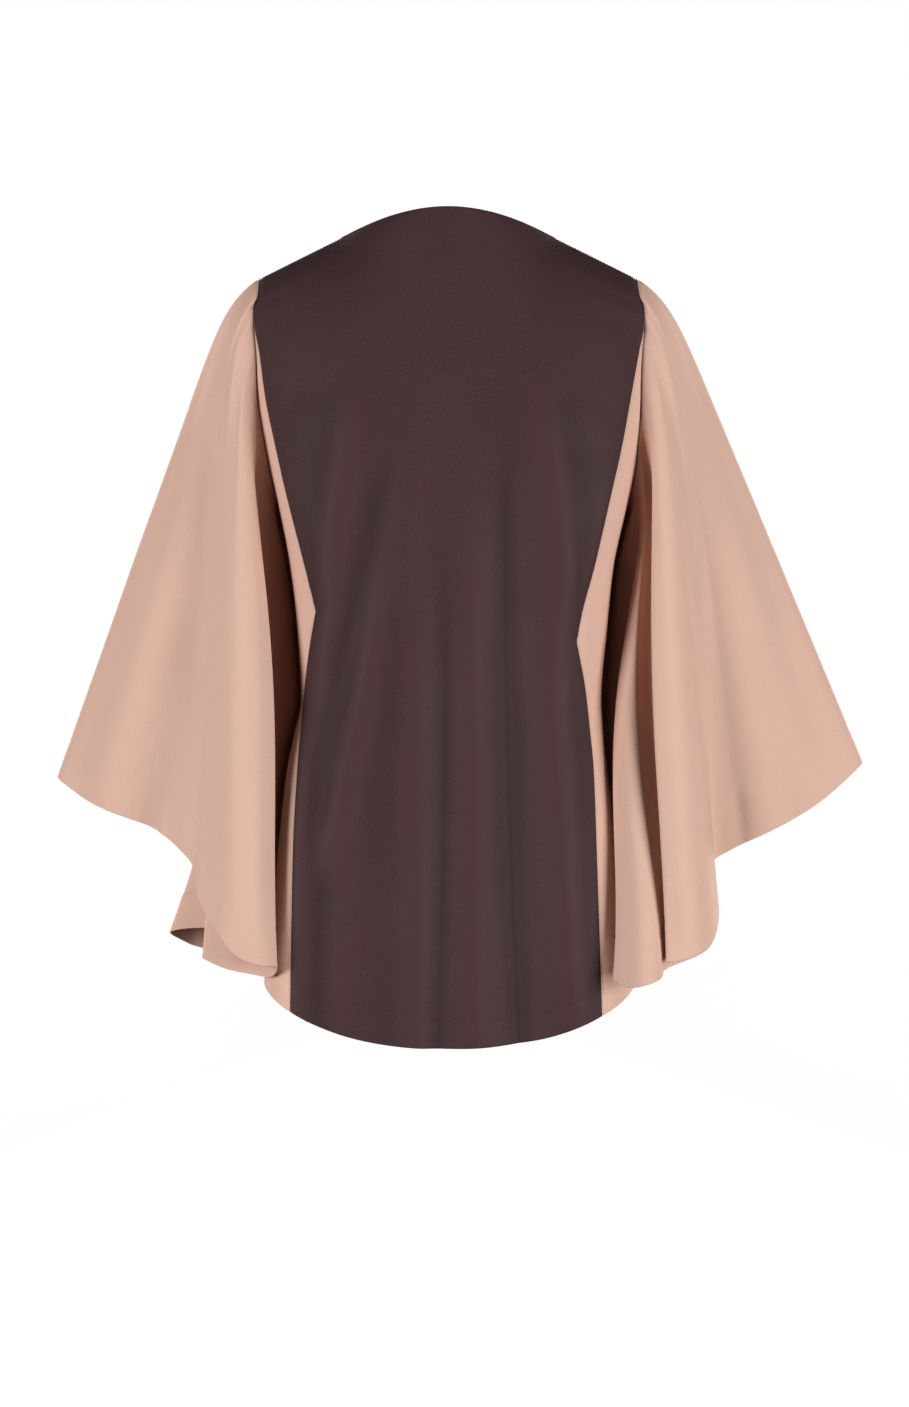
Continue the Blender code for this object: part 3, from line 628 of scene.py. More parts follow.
panels = {
    "columns": 104,           # between the seam allowances
    "rowsToWaist": 50,
    "rowsToChest": 26,
    "rowsToHorn": 24,
    "rowsToShoulder": 18,
    "widthMeant": 0.270,      # widths and lengths that turn the edge steps into shares
    "lengthMeant": 0.320,
    "yokeMeant": 0.170,
    "seamCalm": 0.07,         # share of the panel beside each seam where creases flatten
    "shoulderShare": 0.2,     # part of the top edge taken by each shoulder seam
    "shoulderHold": 0.25,
    "shoulderHalf": 0.166,
    "shoulderHeight": -0.035,
    "neckHalf": 0.096,
    "backNeckDepth": 0.060,
    "backNeckRise": 0.021,
    "backNeckPower": 2.3,
    "neckRoundness": 1.7,     # 1 turns sharply out of the shoulder seam, more turns softly
    "neckBlend": 0.02,        # share of the width where the shoulder seam becomes a folded edge
    "yokeSoftening": 0.09,    # share of the width over which the yoke is evened out
    "yokeStart": 0.3,         # share of the yoke over which that sets in
    "hemBlend": 1.3,          # the first row above the hem's, in hem depths
    "frontNeckDepth": 0.082,
    "frontNeckDrop": 0.100,
    "frontNeckPower": 1.5,
    "rollAtMiddle": 1.25,
    "rollAtShoulder": 2.2,
    "rollSpread": 1.5,
    "hornHeight": -0.075,
    "underarmHeight": -0.235,
    "hornPower": 2.2,
    # name, x and height of its start, x and height of its end, bend, rise, half width to the left,
    # half width to the right, power, where 2 is round and less is sharper
    "backCreases": (
        ("left blade ridge", -0.082, -0.118, -0.113, -0.340, 0.000, 0.0065, 0.010, 0.030, 1.7),
        ("left blade trough", -0.052, -0.180, -0.090, -0.400, 0.000, -0.0040, 0.018, 0.014, 2.0),
        ("left ridge", -0.055, -0.270, -0.101, -0.520, 0.004, 0.0075, 0.012, 0.026, 1.7),
        ("left foot trough", -0.104, -0.420, -0.112, -0.660, 0.000, -0.0040, 0.016, 0.014, 2.0),
        ("middle left ridge", -0.022, -0.165, -0.026, -0.700, -0.004, 0.0045, 0.018, 0.014, 2.0),
        ("middle trough", -0.003, -0.280, -0.010, -0.710, 0.003, -0.0040, 0.010, 0.010, 1.6),
        ("middle right ridge", 0.018, -0.230, 0.024, -0.690, 0.003, 0.0040, 0.014, 0.014, 2.0),
        ("right trough", 0.050, -0.150, 0.062, -0.720, -0.005, -0.0115, 0.018, 0.017, 1.45),
        ("right blade ridge", 0.080, -0.116, 0.109, -0.352, 0.003, 0.0065, 0.030, 0.009, 1.7),
        ("right ridge", 0.082, -0.330, 0.106, -0.640, 0.002, 0.0070, 0.020, 0.018, 1.9),
    ),
    "frontCreases": (
        ("left bust ridge", -0.066, -0.250, -0.090, -0.600, 0.004, 0.0065, 0.014, 0.024, 1.8),
        ("left trough", -0.036, -0.330, -0.050, -0.690, 0.000, -0.0070, 0.017, 0.015, 1.6),
        ("middle ridge", 0.004, -0.300, 0.008, -0.690, -0.003, 0.0050, 0.020, 0.014, 2.0),
        ("right trough", 0.048, -0.360, 0.062, -0.690, -0.004, -0.0080, 0.017, 0.018, 1.5),
        ("right bust ridge", 0.080, -0.260, 0.104, -0.690, 0.003, 0.0065, 0.024, 0.013, 1.8),
    ),
}


def topEdge(face, across):
    # shoulder seam, neckline, shoulder seam
    edge = panels["shoulderShare"]
    if across < edge or across > 1 - edge:
        inward = min(across, 1 - across) / edge
        x = mix(panels["shoulderHalf"], panels["neckHalf"], inward)
        return Vector((-x if across < 0.5 else x, 0.0, mix(panels["shoulderHeight"], 0.0, inward)))
    roundShare = min(1.0, max(0.0, (across - edge) / (1 - 2 * edge)))
    angle = mix(math.pi * roundShare, math.acos(1 - 2 * roundShare), 0.5)
    x = -panels["neckHalf"] * math.cos(angle)
    roundNeck = max(0.0, math.sin(angle))
    if face == "back":
        return Vector((x, -panels["backNeckDepth"] * roundNeck ** panels["neckRoundness"],
                       panels["backNeckRise"] * roundNeck ** panels["backNeckPower"]))
    return Vector((x, panels["frontNeckDepth"] * roundNeck ** panels["neckRoundness"],
                   -panels["frontNeckDrop"] * roundNeck ** panels["frontNeckPower"]))


def belowChest(face, across, level):
    # level 0 is the hem, 1 the waist corner, 2 the chest
    hemLeft = seamAngle(face, "left", form["hemReference"])
    hemRight = seamAngle(face, "right", form["hemReference"])
    hem = hemHeight(mix(hemLeft, hemRight, across))
    waist = mix(waistCorner(face, "left"), waistCorner(face, "right"), across)
    height = mix(hem, waist, level) if level <= 1 else mix(waist, form["chestHeight"], level - 1)
    left = seamAngle(face, "left", height)
    right = seamAngle(face, "right", height)
    return ringPoint(mix(left, right, across), height)


def yoke(face, across, rise):
    # from the chest up to the top edge, rolling over the shoulder
    ring = belowChest(face, across, 2)
    edge = topEdge(face, across)
    outward = abs(2 * across - 1)
    power = mix(panels["rollAtMiddle"], panels["rollAtShoulder"], outward ** panels["rollSpread"])
    roll = (1 - rise ** power) ** (1 / power)
    return Vector((mix(ring.x, edge.x, rise), mix(edge.y, ring.y, roll), mix(ring.z, edge.z, rise)))


def softYoke(face, across, rise):
    # the neck's corners don't run down into the cloth: each point is the mean of its neighbours
    reach = panels["yokeSoftening"] * 2 * math.sqrt(rise * (1 - rise))
    reach = min(reach * ease(rise / panels["yokeStart"]), across, 1 - across)
    steps = (-1.0, -0.5, 0.0, 0.5, 1.0)
    total = Vector((0.0, 0.0, 0.0))
    for step in steps:
        total += yoke(face, across + step * reach, rise)
    return total / len(steps)


def panelPoint(face, across, level):
    # a point of the dark back or front, level 0 at the hem and 3 at the top edge
    if level <= 2:
        point = belowChest(face, across, level)
    else:
        rise = min(1.0, level - 2)
        point = softYoke(face, across, rise)
        height = mix(form["chestHeight"], panels["shoulderHeight"], rise)
        for side, end, distance in (("left", 0.0, across), ("right", 1.0, 1 - across)):
            hold = max(0.0, 1 - distance / panels["shoulderHold"]) ** 2
            if hold > 0.0:
                point += (seamPoint(face, side, height) - yoke(face, end, rise)) * hold
    calm = ease(min(across, 1 - across) / panels["seamCalm"])
    push = creaseOffset(panels[face + "Creases"], point.x, point.z) * calm
    point.y += -push if face == "back" else push
    return point, push


def bodyLevels():
    # hem steps, then up to the waist corner and the chest
    steps = [step / panels["lengthMeant"] for step in cloth["bodyHemSteps"]]
    return steps + spread(steps[-1] * panels["hemBlend"], 1.0, panels["rowsToWaist"])


def panelLevels():
    chest = form["chestHeight"]
    horn = (panels["hornHeight"] - chest) / (panels["shoulderHeight"] - chest)
    levels = bodyLevels() + spread(1.0, 2.0, panels["rowsToChest"])
    levels += spread(2.0, 2 + horn, panels["rowsToHorn"])
    top = [3 - step / panels["yokeMeant"] for step in reversed(cloth["seamSteps"])]
    return levels + spread(2 + horn, top[0], panels["rowsToShoulder"]) + top


def edgeShares(width, count):
    # shares across a piece, close together beside its two seams
    near = [step / width for step in cloth["seamSteps"]]
    middle = spread(near[-1], 1 - near[-1], count)[1:]
    return near + middle + [1 - share for share in reversed(near)]


def seamDistances(shares, width):
    return [min(share, 1 - share) * width for share in shares]


def sewnWall(name, grid, crests, outward, material, seams, seamGaps, hemGaps, topGaps, neckShare):
    # seamGaps, hemGaps and topGaps are distances from the side seams, the hem and the top edge,
    # and neckShare says of each column how far its top edge is a folded neckline and not a seam
    normals = gridNormals(grid, False, outward)
    for line, row in zip(grid, normals):
        for column, (face, side) in zip((0, -1), seams):
            row[column] = seamNormal(face, side, line[column].z)
    for column, neck in enumerate(neckShare):
        if neck < 1.0:
            normals[-1][column].y = 0.0
            normals[-1][column].normalize()
    hemThick = cloth["wall"] + cloth["hemExtra"]
    depths = []
    for fromHem, fromTop in zip(hemGaps, topGaps):
        line = []
        for column, fromSeam in enumerate(seamGaps):
            neck = neckShare[column] if neckShare else 0.0
            sink = groove(fromSeam) + hemImprint(fromHem, cloth["bodyHem"])
            sink += roundedEdge(fromHem, hemThick)
            sink += mix(groove(fromTop), roundedEdge(fromTop, hemThick), neck)
            thick = cloth["wall"]
            if fromHem < cloth["bodyHem"]:
                thick += cloth["hemExtra"]
            elif min(fromSeam, fromTop) < cloth["seamAllowance"]:
                thick += cloth["seamExtra"]
            thick -= roundedEdge(fromHem, hemThick) + neck * roundedEdge(fromTop, hemThick)
            line.append((sink, max(thick, sink + cloth["leastWall"])))
        depths.append(line)
    flat = panelLaidFlat(grid)
    return clothWall(name, grid, normals, depths, False, flat, crests, material), grid, normals


def centrePanel(face):
    shares = edgeShares(panels["widthMeant"], panels["columns"])
    levels = panelLevels()
    made = [[panelPoint(face, share, level) for share in shares] for level in levels]
    grid = [[point for point, _ in line] for line in made]
    crests = crestShares([[push for _, push in line] for line in made], False)
    neckStart = panels["shoulderShare"]
    neckShare = [ease((min(share, 1 - share) - neckStart) / panels["neckBlend"]) for share in shares]
    hemGaps = [level * panels["lengthMeant"] for level in levels]
    topGaps = [(3 - level) * panels["yokeMeant"] for level in levels]
    seams = ((face, "left"), (face, "right"))
    return sewnWall(face + "_cloth", grid, crests, 1 if face == "back" else -1, darkCloth, seams,
                    seamDistances(shares, panels["widthMeant"]), hemGaps, topGaps, neckShare)


# each piece with its points and normals, by the CAD node that it stands for
sewn = {
    "back_panel": centrePanel("back"),
    "front_panel": centrePanel("front"),
}
print("cape top: dark panels sewn")


# Blush side panels, from the armhole to the hem

sides = {
    "columns": 34,
    "widthMeant": 0.110,
}


def sideAngle(side, along, height):
    back = seamAngle("back", side, height)
    front = seamAngle("front", side, height)
    if side == "left":
        back += 2 * math.pi
    return mix(back, front, along)


def sideTop(along):
    rise = abs(1 - 2 * along) ** panels["hornPower"]
    return mix(panels["underarmHeight"], panels["hornHeight"], rise)


def sidePoint(side, along, level):
    # along 0 at the back seam and 1 at the front seam, level 0 at the hem and 2 at the armhole
    waist = mix(waistCorner("back", side), waistCorner("front", side), along)
    if level <= 1:
        hem = hemHeight(sideAngle(side, along, form["hemReference"]))
        height = mix(hem, waist, level)
    else:
        height = mix(waist, sideTop(along), level - 1)
    return ringPoint(sideAngle(side, along, height), height)


def sideLevels(side, along):
    shares = []
    for face in ("back", "front"):
        corner = waistCorner(face, side)
        heights = spread(corner, form["chestHeight"], panels["rowsToChest"])
        heights += spread(form["chestHeight"], panels["hornHeight"], panels["rowsToHorn"])
        heights.append(panels["hornHeight"])
        shares.append([(height - corner) / (panels["hornHeight"] - corner) for height in heights])
    return bodyLevels() + [1 + mix(back, front, along) for back, front in zip(*shares)]


def sidePanel(side):
    shares = edgeShares(sides["widthMeant"], sides["columns"])
    columns = [[sidePoint(side, share, level) for level in sideLevels(side, share)]
               for share in shares]
    grid = [list(line) for line in zip(*columns)]
    levels = sideLevels(side, 0.5)
    hemGaps = [level * panels["lengthMeant"] for level in levels]
    topGaps = [(2 - level) * panels["lengthMeant"] for level in levels]
    seams = (("back", side), ("front", side))
    crests = [[0.0] * len(line) for line in grid]
    outward = -1 if side == "left" else 1
    return sewnWall("side_cloth_" + side, grid, crests, outward, blushCloth, seams,
                    seamDistances(shares, sides["widthMeant"]), hemGaps, topGaps, ())


sewn["side_panel_left"] = sidePanel("left")
sewn["side_panel_right"] = sidePanel("right")
print("cape top: side panels sewn")


# Cape sleeves. Each table goes once round the hem from the outer tip over the back:
# name, share of the armhole it hangs from, hem x (away from the body), y, z, outward bow under
# the shoulder, bow towards the body at mid length, share of the length where the fold starts,
# how closely it follows the side of the body, bow towards the front below the armhole. What a row
# leaves out is 0.

sleeves = {
    "rowNumbers": 10,         # entries of a whole row of folds
    "columnsPerFold": 9,
    "rows": 70,
    "rowPower": 1.5,
    "capLength": 0.045,
    "capTurn": 2.0,
    "foldPower": 1.2,
    "forwardPower": 0.6,      # below 1 the bow towards the front lies nearer the armhole
    "hugLength": 0.05,
    "hugClearance": 0.0045,
    "standoff": 0.0002,
    "armholeSteps": 240,
    "dropSteps": 40,
    # shares of the armhole where the back layer turns under and the front one begins, and over
    # which their creases fade
    "backLayer": 0.275,
    "backFade": 0.05,
    "frontLayer": 0.700,
    "frontFade": 0.08,
}
leftSleeve = {
    "folds": (
        ("outer tip", 0.000, 0.344, 0.000, -0.474, 0.0220),
        ("tip back", 0.020, 0.320, -0.018, -0.491, 0.0215),
        ("hem back 1", 0.040, 0.297, -0.036, -0.502, 0.0210),
        ("hem back 2", 0.070, 0.253, -0.060, -0.518, 0.0190),
        ("hem back 3", 0.095, 0.230, -0.078, -0.535, 0.0170),
        ("back dip", 0.110, 0.219, -0.086, -0.548, 0.0160),
        ("curl 1", 0.130, 0.213, -0.095, -0.577, 0.0145),
        ("curl 2", 0.155, 0.198, -0.108, -0.601, 0.0130, 0.002),
        ("back ridge", 0.185, 0.180, -0.118, -0.623, 0.0140, 0.004),
        ("back edge", 0.225, 0.159, -0.122, -0.631, 0.0120, 0.007),
        ("inner edge", 0.275, 0.145, -0.114, -0.633, 0.0090, 0.009),
        ("inner return", 0.305, 0.150, -0.101, -0.642, 0.0080, -0.006, 0.00, 0.00, 0.002),
        ("tuck 1", 0.325, 0.169, -0.093, -0.640, 0.0070, -0.014, 0.20, 0.00, 0.004),
        ("tuck 2", 0.345, 0.190, -0.087, -0.636, 0.0060, -0.018, 0.25, 0.00, 0.008),
        ("tuck end", 0.365, 0.210, -0.073, -0.628, 0.0050, -0.018, 0.00, 0.00, 0.012),
        ("under tuck 1", 0.385, 0.190, -0.059, -0.635, 0.0050, -0.010, 0.30, 0.00, 0.018),
        ("under tuck 2", 0.405, 0.170, -0.055, -0.641, 0.0040, -0.002, 0.30, 0.50, 0.027),
        ("body valley", 0.430, 0.158, -0.036, -0.644, 0.0040, 0.002, 0.00, 1.00, 0.036),
        ("side lift 1", 0.450, 0.177, -0.032, -0.619, 0.0040, 0.000, 0.35, 0.50, 0.039),
        ("side lift 2", 0.465, 0.204, -0.023, -0.606, 0.0040, 0.000, 0.40, 0.00, 0.039),
        ("side ridge", 0.485, 0.243, -0.008, -0.610, 0.0040, 0.000, 0.40, 0.00, 0.036),
        ("side return", 0.520, 0.227, 0.012, -0.622, 0.0040, 0.000, 0.00, 0.00, 0.032),
        ("front tuck 1", 0.560, 0.203, 0.028, -0.636, 0.0040, 0.000, 0.00, 0.50, 0.024),
        ("front tuck 2", 0.610, 0.158, 0.050, -0.643, 0.0050, 0.002, 0.00, 1.00, 0.010),
        ("front edge", 0.700, 0.148, 0.088, -0.638, 0.0070, 0.004, 0.00, 0.50),
        ("front turn", 0.780, 0.160, 0.106, -0.629, 0.0100),
        ("front ridge", 0.840, 0.190, 0.112, -0.614, 0.0130),
        ("front hem 1", 0.890, 0.226, 0.092, -0.540, 0.0160),
        ("front hem 2", 0.930, 0.268, 0.072, -0.508, 0.0190),
        ("front hem 3", 0.970, 0.306, 0.040, -0.496, 0.0215),
    ),
    # columns as in the panels' creases
    "backCreases": (
        ("inner ridge", -0.177, -0.100, -0.176, -0.560, -0.004, 0.0046, 0.016, 0.020, 2.0),
        ("upper trough", -0.209, -0.130, -0.224, -0.380, 0.000, -0.0050, 0.018, 0.013, 1.8),
        ("outer trough", -0.224, -0.300, -0.262, -0.500, 0.002, -0.0050, 0.020, 0.016, 1.8),
        ("outer swell", -0.246, -0.230, -0.300, -0.460, 0.003, 0.0036, 0.014, 0.022, 2.0),
        ("hem pucker 1", -0.261, -0.474, -0.264, -0.506, 0.000, -0.0020, 0.005, 0.006, 1.6),
        ("hem pucker 2", -0.245, -0.486, -0.248, -0.518, 0.000, 0.0016, 0.004, 0.005, 1.6),
        ("hem pucker 3", -0.196, -0.570, -0.200, -0.604, 0.000, -0.0008, 0.006, 0.005, 1.6),
    ),
    "frontCreases": (
        ("inner ridge", -0.182, -0.120, -0.186, -0.540, 0.003, 0.0050, 0.018, 0.014, 1.8),
        ("middle trough", -0.214, -0.180, -0.236, -0.460, 0.000, -0.0050, 0.016, 0.018, 1.8),
        ("outer swell", -0.250, -0.260, -0.292, -0.460, 0.000, 0.0032, 0.022, 0.016, 2.0),
    ),
}
rightSleeve = {
    "folds": (
        ("outer tip", 0.000, 0.365, 0.000, -0.461, 0.0215),
        ("tip back", 0.020, 0.338, -0.020, -0.485, 0.0205),
        ("hem back 1", 0.040, 0.314, -0.035, -0.502, 0.0200),
        ("hem back 2", 0.065, 0.281, -0.050, -0.519, 0.0185),
        ("hem back 3", 0.090, 0.248, -0.055, -0.534, 0.0180, 0.000, 0.40),
        ("back dip", 0.110, 0.229, -0.060, -0.546, 0.0160, 0.000, 0.50),
        ("curl 1", 0.130, 0.230, -0.072, -0.566, 0.0145, 0.000, 0.40),
        ("curl 2", 0.155, 0.231, -0.090, -0.594, 0.0130),
        ("back ridge", 0.185, 0.222, -0.110, -0.616, 0.0140),
        ("back edge", 0.225, 0.205, -0.122, -0.625, 0.0120, 0.002),
        ("inner edge", 0.270, 0.185, -0.124, -0.628, 0.0100, 0.006),
        ("inner return", 0.300, 0.196, -0.102, -0.627, 0.0080, -0.008, 0.00, 0.00, 0.004),
        ("valley", 0.325, 0.214, -0.056, -0.628, 0.0060, -0.020, 0.00, 0.00, 0.022),
        ("roll 1", 0.345, 0.185, -0.106, -0.636, 0.0050, 0.010, 0.14, 0.00, 0.020),
        ("roll 2", 0.358, 0.180, -0.127, -0.642, 0.0050, 0.016, 0.14, 0.00, 0.012),
        ("roll 3", 0.371, 0.166, -0.133, -0.647, 0.0050, 0.017, 0.14, 0.00, 0.012),
        ("roll 4", 0.386, 0.152, -0.126, -0.649, 0.0050, 0.017, 0.14, 0.00, 0.014),
        ("roll edge", 0.402, 0.140, -0.111, -0.643, 0.0050, 0.016, 0.14, 0.00, 0.020),
        ("roll return", 0.418, 0.149, -0.096, -0.640, 0.0050, 0.010, 0.20, 0.00, 0.028),
        ("body valley 1", 0.432, 0.168, -0.070, -0.640, 0.0040, 0.000, 0.20, 0.60, 0.032),
        ("body valley 2", 0.452, 0.170, -0.040, -0.638, 0.0040, 0.000, 0.00, 1.00, 0.034),
        ("side", 0.500, 0.174, 0.000, -0.638, 0.0040, 0.000, 0.00, 0.80, 0.024),
        ("front tuck 1", 0.560, 0.188, 0.030, -0.630, 0.0040, 0.000, 0.30, 0.50, 0.014),
        ("front tuck 2", 0.610, 0.162, 0.050, -0.640, 0.0050, 0.000, 0.30, 1.00, 0.006),
        ("front edge", 0.700, 0.153, 0.090, -0.634, 0.0070, 0.003, 0.00, 0.50),
        ("front turn", 0.780, 0.168, 0.110, -0.626, 0.0100),
        ("front ridge", 0.840, 0.205, 0.112, -0.606, 0.0130),
        ("front hem 1", 0.890, 0.245, 0.088, -0.535, 0.0160),
        ("front hem 2", 0.930, 0.289, 0.066, -0.508, 0.0190),
        ("front hem 3", 0.970, 0.327, 0.038, -0.490, 0.0205),
    ),
    "backCreases": (
        ("inner ridge", 0.184, -0.100, 0.204, -0.580, -0.003, 0.0050, 0.016, 0.022, 2.0),
        ("inner trough", 0.214, -0.100, 0.250, -0.500, -0.002, -0.0014, 0.016, 0.020, 2.0),
        ("outer swell", 0.236, -0.210, 0.300, -0.450, -0.003, 0.0036, 0.024, 0.016, 2.0),
        ("outer trough", 0.262, -0.320, 0.306, -0.490, 0.000, -0.0030, 0.014, 0.020, 1.9),
        ("hem pucker 1", 0.187, -0.564, 0.192, -0.606, 0.000, -0.0018, 0.005, 0.006, 1.6),
        ("hem pucker 2", 0.208, -0.572, 0.212, -0.608, 0.000, 0.0009, 0.006, 0.005, 1.6),
        ("hem pucker 3", 0.250, -0.478, 0.254, -0.514, 0.000, -0.0018, 0.005, 0.005, 1.6),
    ),
    "frontCreases": (
        ("inner ridge", 0.188, -0.130, 0.206, -0.580, -0.003, 0.0050, 0.016, 0.014, 1.8),
        ("middle trough", 0.222, -0.190, 0.254, -0.480, 0.000, -0.0050, 0.015, 0.019, 1.8),
        ("outer swell", 0.262, -0.260, 0.312, -0.460, 0.002, 0.0030, 0.020, 0.016, 2.0),
    ),
}


def armholeCurve(side):
    # round the armhole from the shoulder point, down the back and up the front
    drop = spread(panels["shoulderHeight"], panels["hornHeight"], sleeves["dropSteps"])
    steps = sleeves["armholeSteps"]
    points = [seamPoint("back", side, height) for height in drop]
    points += [sidePoint(side, step / steps, 2) for step in range(steps + 1)]
    points += [seamPoint("front", side, height) for height in reversed(drop)]
    return points, lengthsAlong(points)


def alongCurve(curve, share):
    points, lengths = curve
    target = share * lengths[-1]
    index = 0
    while index < len(points) - 2 and lengths[index + 1] < target:
        index += 1
    part = (target - lengths[index]) / (lengths[index + 1] - lengths[index])
    return points[index].lerp(points[index + 1], part)


def bodySide(side, point):
    # how far the body reaches sideways beside a point
    face = "back" if point.y < 0 else "front"
    power = squareness(face, side, point.z)
    forward = min(1.0, abs(point.y) / bodyDepth(face, point.z))
    return halfWidth(side, point.z) * (1 - forward ** power) ** (1 / power)


def sleeveLevels(length):
    # close rows at the armhole seam and round the turned hem, in shares of the column's length
    top = [step / length for step in cloth["seamSteps"]]
    hem = [1 - step / length for step in reversed(cloth["sleeveHemSteps"])]
    middle = [mix(top[-1], hem[0], (row / sleeves["rows"]) ** sleeves["rowPower"])
              for row in range(1, sleeves["rows"])]
    return top + middle + hem


def sleeveColumn(side, rows, curve, index, part):
    # one line of points down the sleeve, between two rows of its table
    out = Vector((sign(side), 0.0, 0.0))
    shares = [row[1] for row in rows] + [1.0]
    share = mix(shares[index], shares[index + 1], part)
    x, y, z, cap, sag, begins, hug, forward = roundCurve([row[2:] for row in rows], index, part)
    end = Vector((sign(side) * x, y, z))
    main = [row for row in rows if row[7] == 0.0]
    mainShares = [row[1] for row in main] + [1.0]
    place = max(number for number in range(len(main)) if mainShares[number] <= share)
    mainPart = (share - mainShares[place]) / (mainShares[place + 1] - mainShares[place])
    x, y, z = roundCurve([row[2:5] for row in main], place, mainPart)
    straight = Vector((sign(side) * x, y, z))
    start = alongCurve(curve, share) + out * sleeves["standoff"]
    away = Vector((start.x, sleeves["capTurn"] * start.y, 0.0)).normalized()
    line = []
    for level in sleeveLevels((end - start).length):
        bow = away * cap * (1 - level) * (1 - math.exp(-level / sleeves["capLength"]))
        bow -= out * sag * math.sin(math.pi * level) ** 2
        bow.y += forward * math.sin(math.pi * level ** sleeves["forwardPower"]) ** 2
        fold = (max(0.0, level - begins) / (1 - begins)) ** sleeves["foldPower"]
        point = start.lerp(straight, level) + (end - straight) * fold + bow
        closeness = min(1.0, max(0.0, hug)) * min(1.0, level / sleeves["hugLength"])
        if closeness > 0.0:
            beside = bodySide(side, point) + sleeves["hugClearance"]
            point.x = mix(point.x, sign(side) * beside, closeness)
        line.append(point)
    return share, line


def sleeveLaidFlat(grid, shares):
    # a cape sleeve is cut as part of a ring, so it is laid out round the ring's centre
    length = sum(lengthsAlong(list(column))[-1] for column in zip(*grid)) / len(shares)
    ringTop = lengthsAlong(grid[0] + grid[0][:1])[-1]
    ringHem = lengthsAlong(grid[-1] + grid[-1][:1])[-1]
    turn = (ringHem - ringTop) / length
    radius = ringTop / turn
    down = [lengthsAlong(list(column)) for column in zip(*grid)]
    count = len(shares)

    def flat(row, column):
        share = shares[column % count] + (1.0 if column >= count else 0.0)
        angle = (share - 0.5) * turn
        reach = radius + down[column % count][row]
        return reach * math.sin(angle), reach * math.cos(angle)
    return flat, (ringTop, ringHem, length, turn, radius)


def sleeve(side, values):
    rows = [row + (0.0,) * (sleeves["rowNumbers"] - len(row)) for row in values["folds"]]
    curve = armholeCurve(side)
    steps = spread(0.0, 1.0, sleeves["columnsPerFold"])
    columns = [sleeveColumn(side, rows, curve, index, part)
               for index in range(len(rows)) for part in steps]
    shares = [share for share, _ in columns]
    grid = [list(line) for line in zip(*[line for _, line in columns])]
    outward = -1 if side == "left" else 1
    normals = gridNormals(grid, True, outward)
    rowCount = len(grid)
    pushes = []
    for row, line in enumerate(grid):
        pushes.append([])
        for column, point in enumerate(line):
            share = shares[column]
            back = ease((sleeves["backLayer"] - share) / sleeves["backFade"])
            front = ease((share - sleeves["frontLayer"]) / sleeves["frontFade"])
            push = creaseOffset(values["backCreases"], point.x, point.z) * back
            push += creaseOffset(values["frontCreases"], point.x, point.z) * front
            line[column] = point + normals[row][column] * push
            pushes[-1].append(push)
    crests = crestShares(pushes, True)
    normals = gridNormals(grid, True, outward)
    hemSteps = cloth["sleeveHemSteps"]
    topSteps = cloth["seamSteps"]
    hemThick = cloth["wall"] + cloth["hemExtra"]
    depths = []
    for row in range(rowCount):
        fromHem = hemSteps[rowCount - 1 - row] if rowCount - 1 - row < len(hemSteps) else 1.0
        fromTop = topSteps[row] if row < len(topSteps) else 1.0
        rounding = roundedEdge(fromHem, hemThick)
        sink = groove(fromTop) + hemImprint(fromHem, cloth["sleeveHem"]) + rounding
        thick = cloth["wall"] + (cloth["hemExtra"] if fromHem < cloth["sleeveHem"] else 0.0)
        depths.append([(sink, max(thick - rounding, sink + cloth["leastWall"]))] * len(shares))
    flat, sizes = sleeveLaidFlat(grid, shares)
    print("cape top:", side, "armhole, hem, length, turn, radius", [round(size, 3) for size in sizes])
    name = "sleeve_cloth_" + side
    return clothWall(name, grid, normals, depths, True, flat, crests, blushCloth), grid, normals


sewn["sleeve_left"] = sleeve("left", leftSleeve)
sewn["sleeve_right"] = sleeve("right", rightSleeve)
print("cape top: sleeves set in")


# Stitches: one short thread is repeated along paths on the sewn cloth

stitches = {
    "seed": 7,
    "sides": 6,
    "rings": 3,
    "jitter": 0.12,           # radians by which a stitch strays
    # kind: spacing, length, thickness, turn from the path, lean to alternate sides
    "kinds": {
        "lock": (0.0028, 0.0023, 0.00045, 0.0, 0.03),
        "overlock": (0.0026, 0.0038, 0.00036, 1.57, 0.32),
        "catch": (0.0050, 0.0062, 0.00036, 0.0, 0.70),
        "pick": (0.0120, 0.0010, 0.00034, 0.0, 0.10),
    },
    "lockLift": -0.00055,     # down in the seam's groove
    "pickLift": 0.00005,
    "overlockLift": -0.0013,  # on the inside, over the edge of the allowance
    "catchLift": -0.0013,
    "allowanceStep": 8,       # which of the seam steps lies at the allowance's edge
    "bodyHemRows": (11, 13),  # rows of the catch stitches and of the picks
    "sleeveHemRows": (14, 16),
}


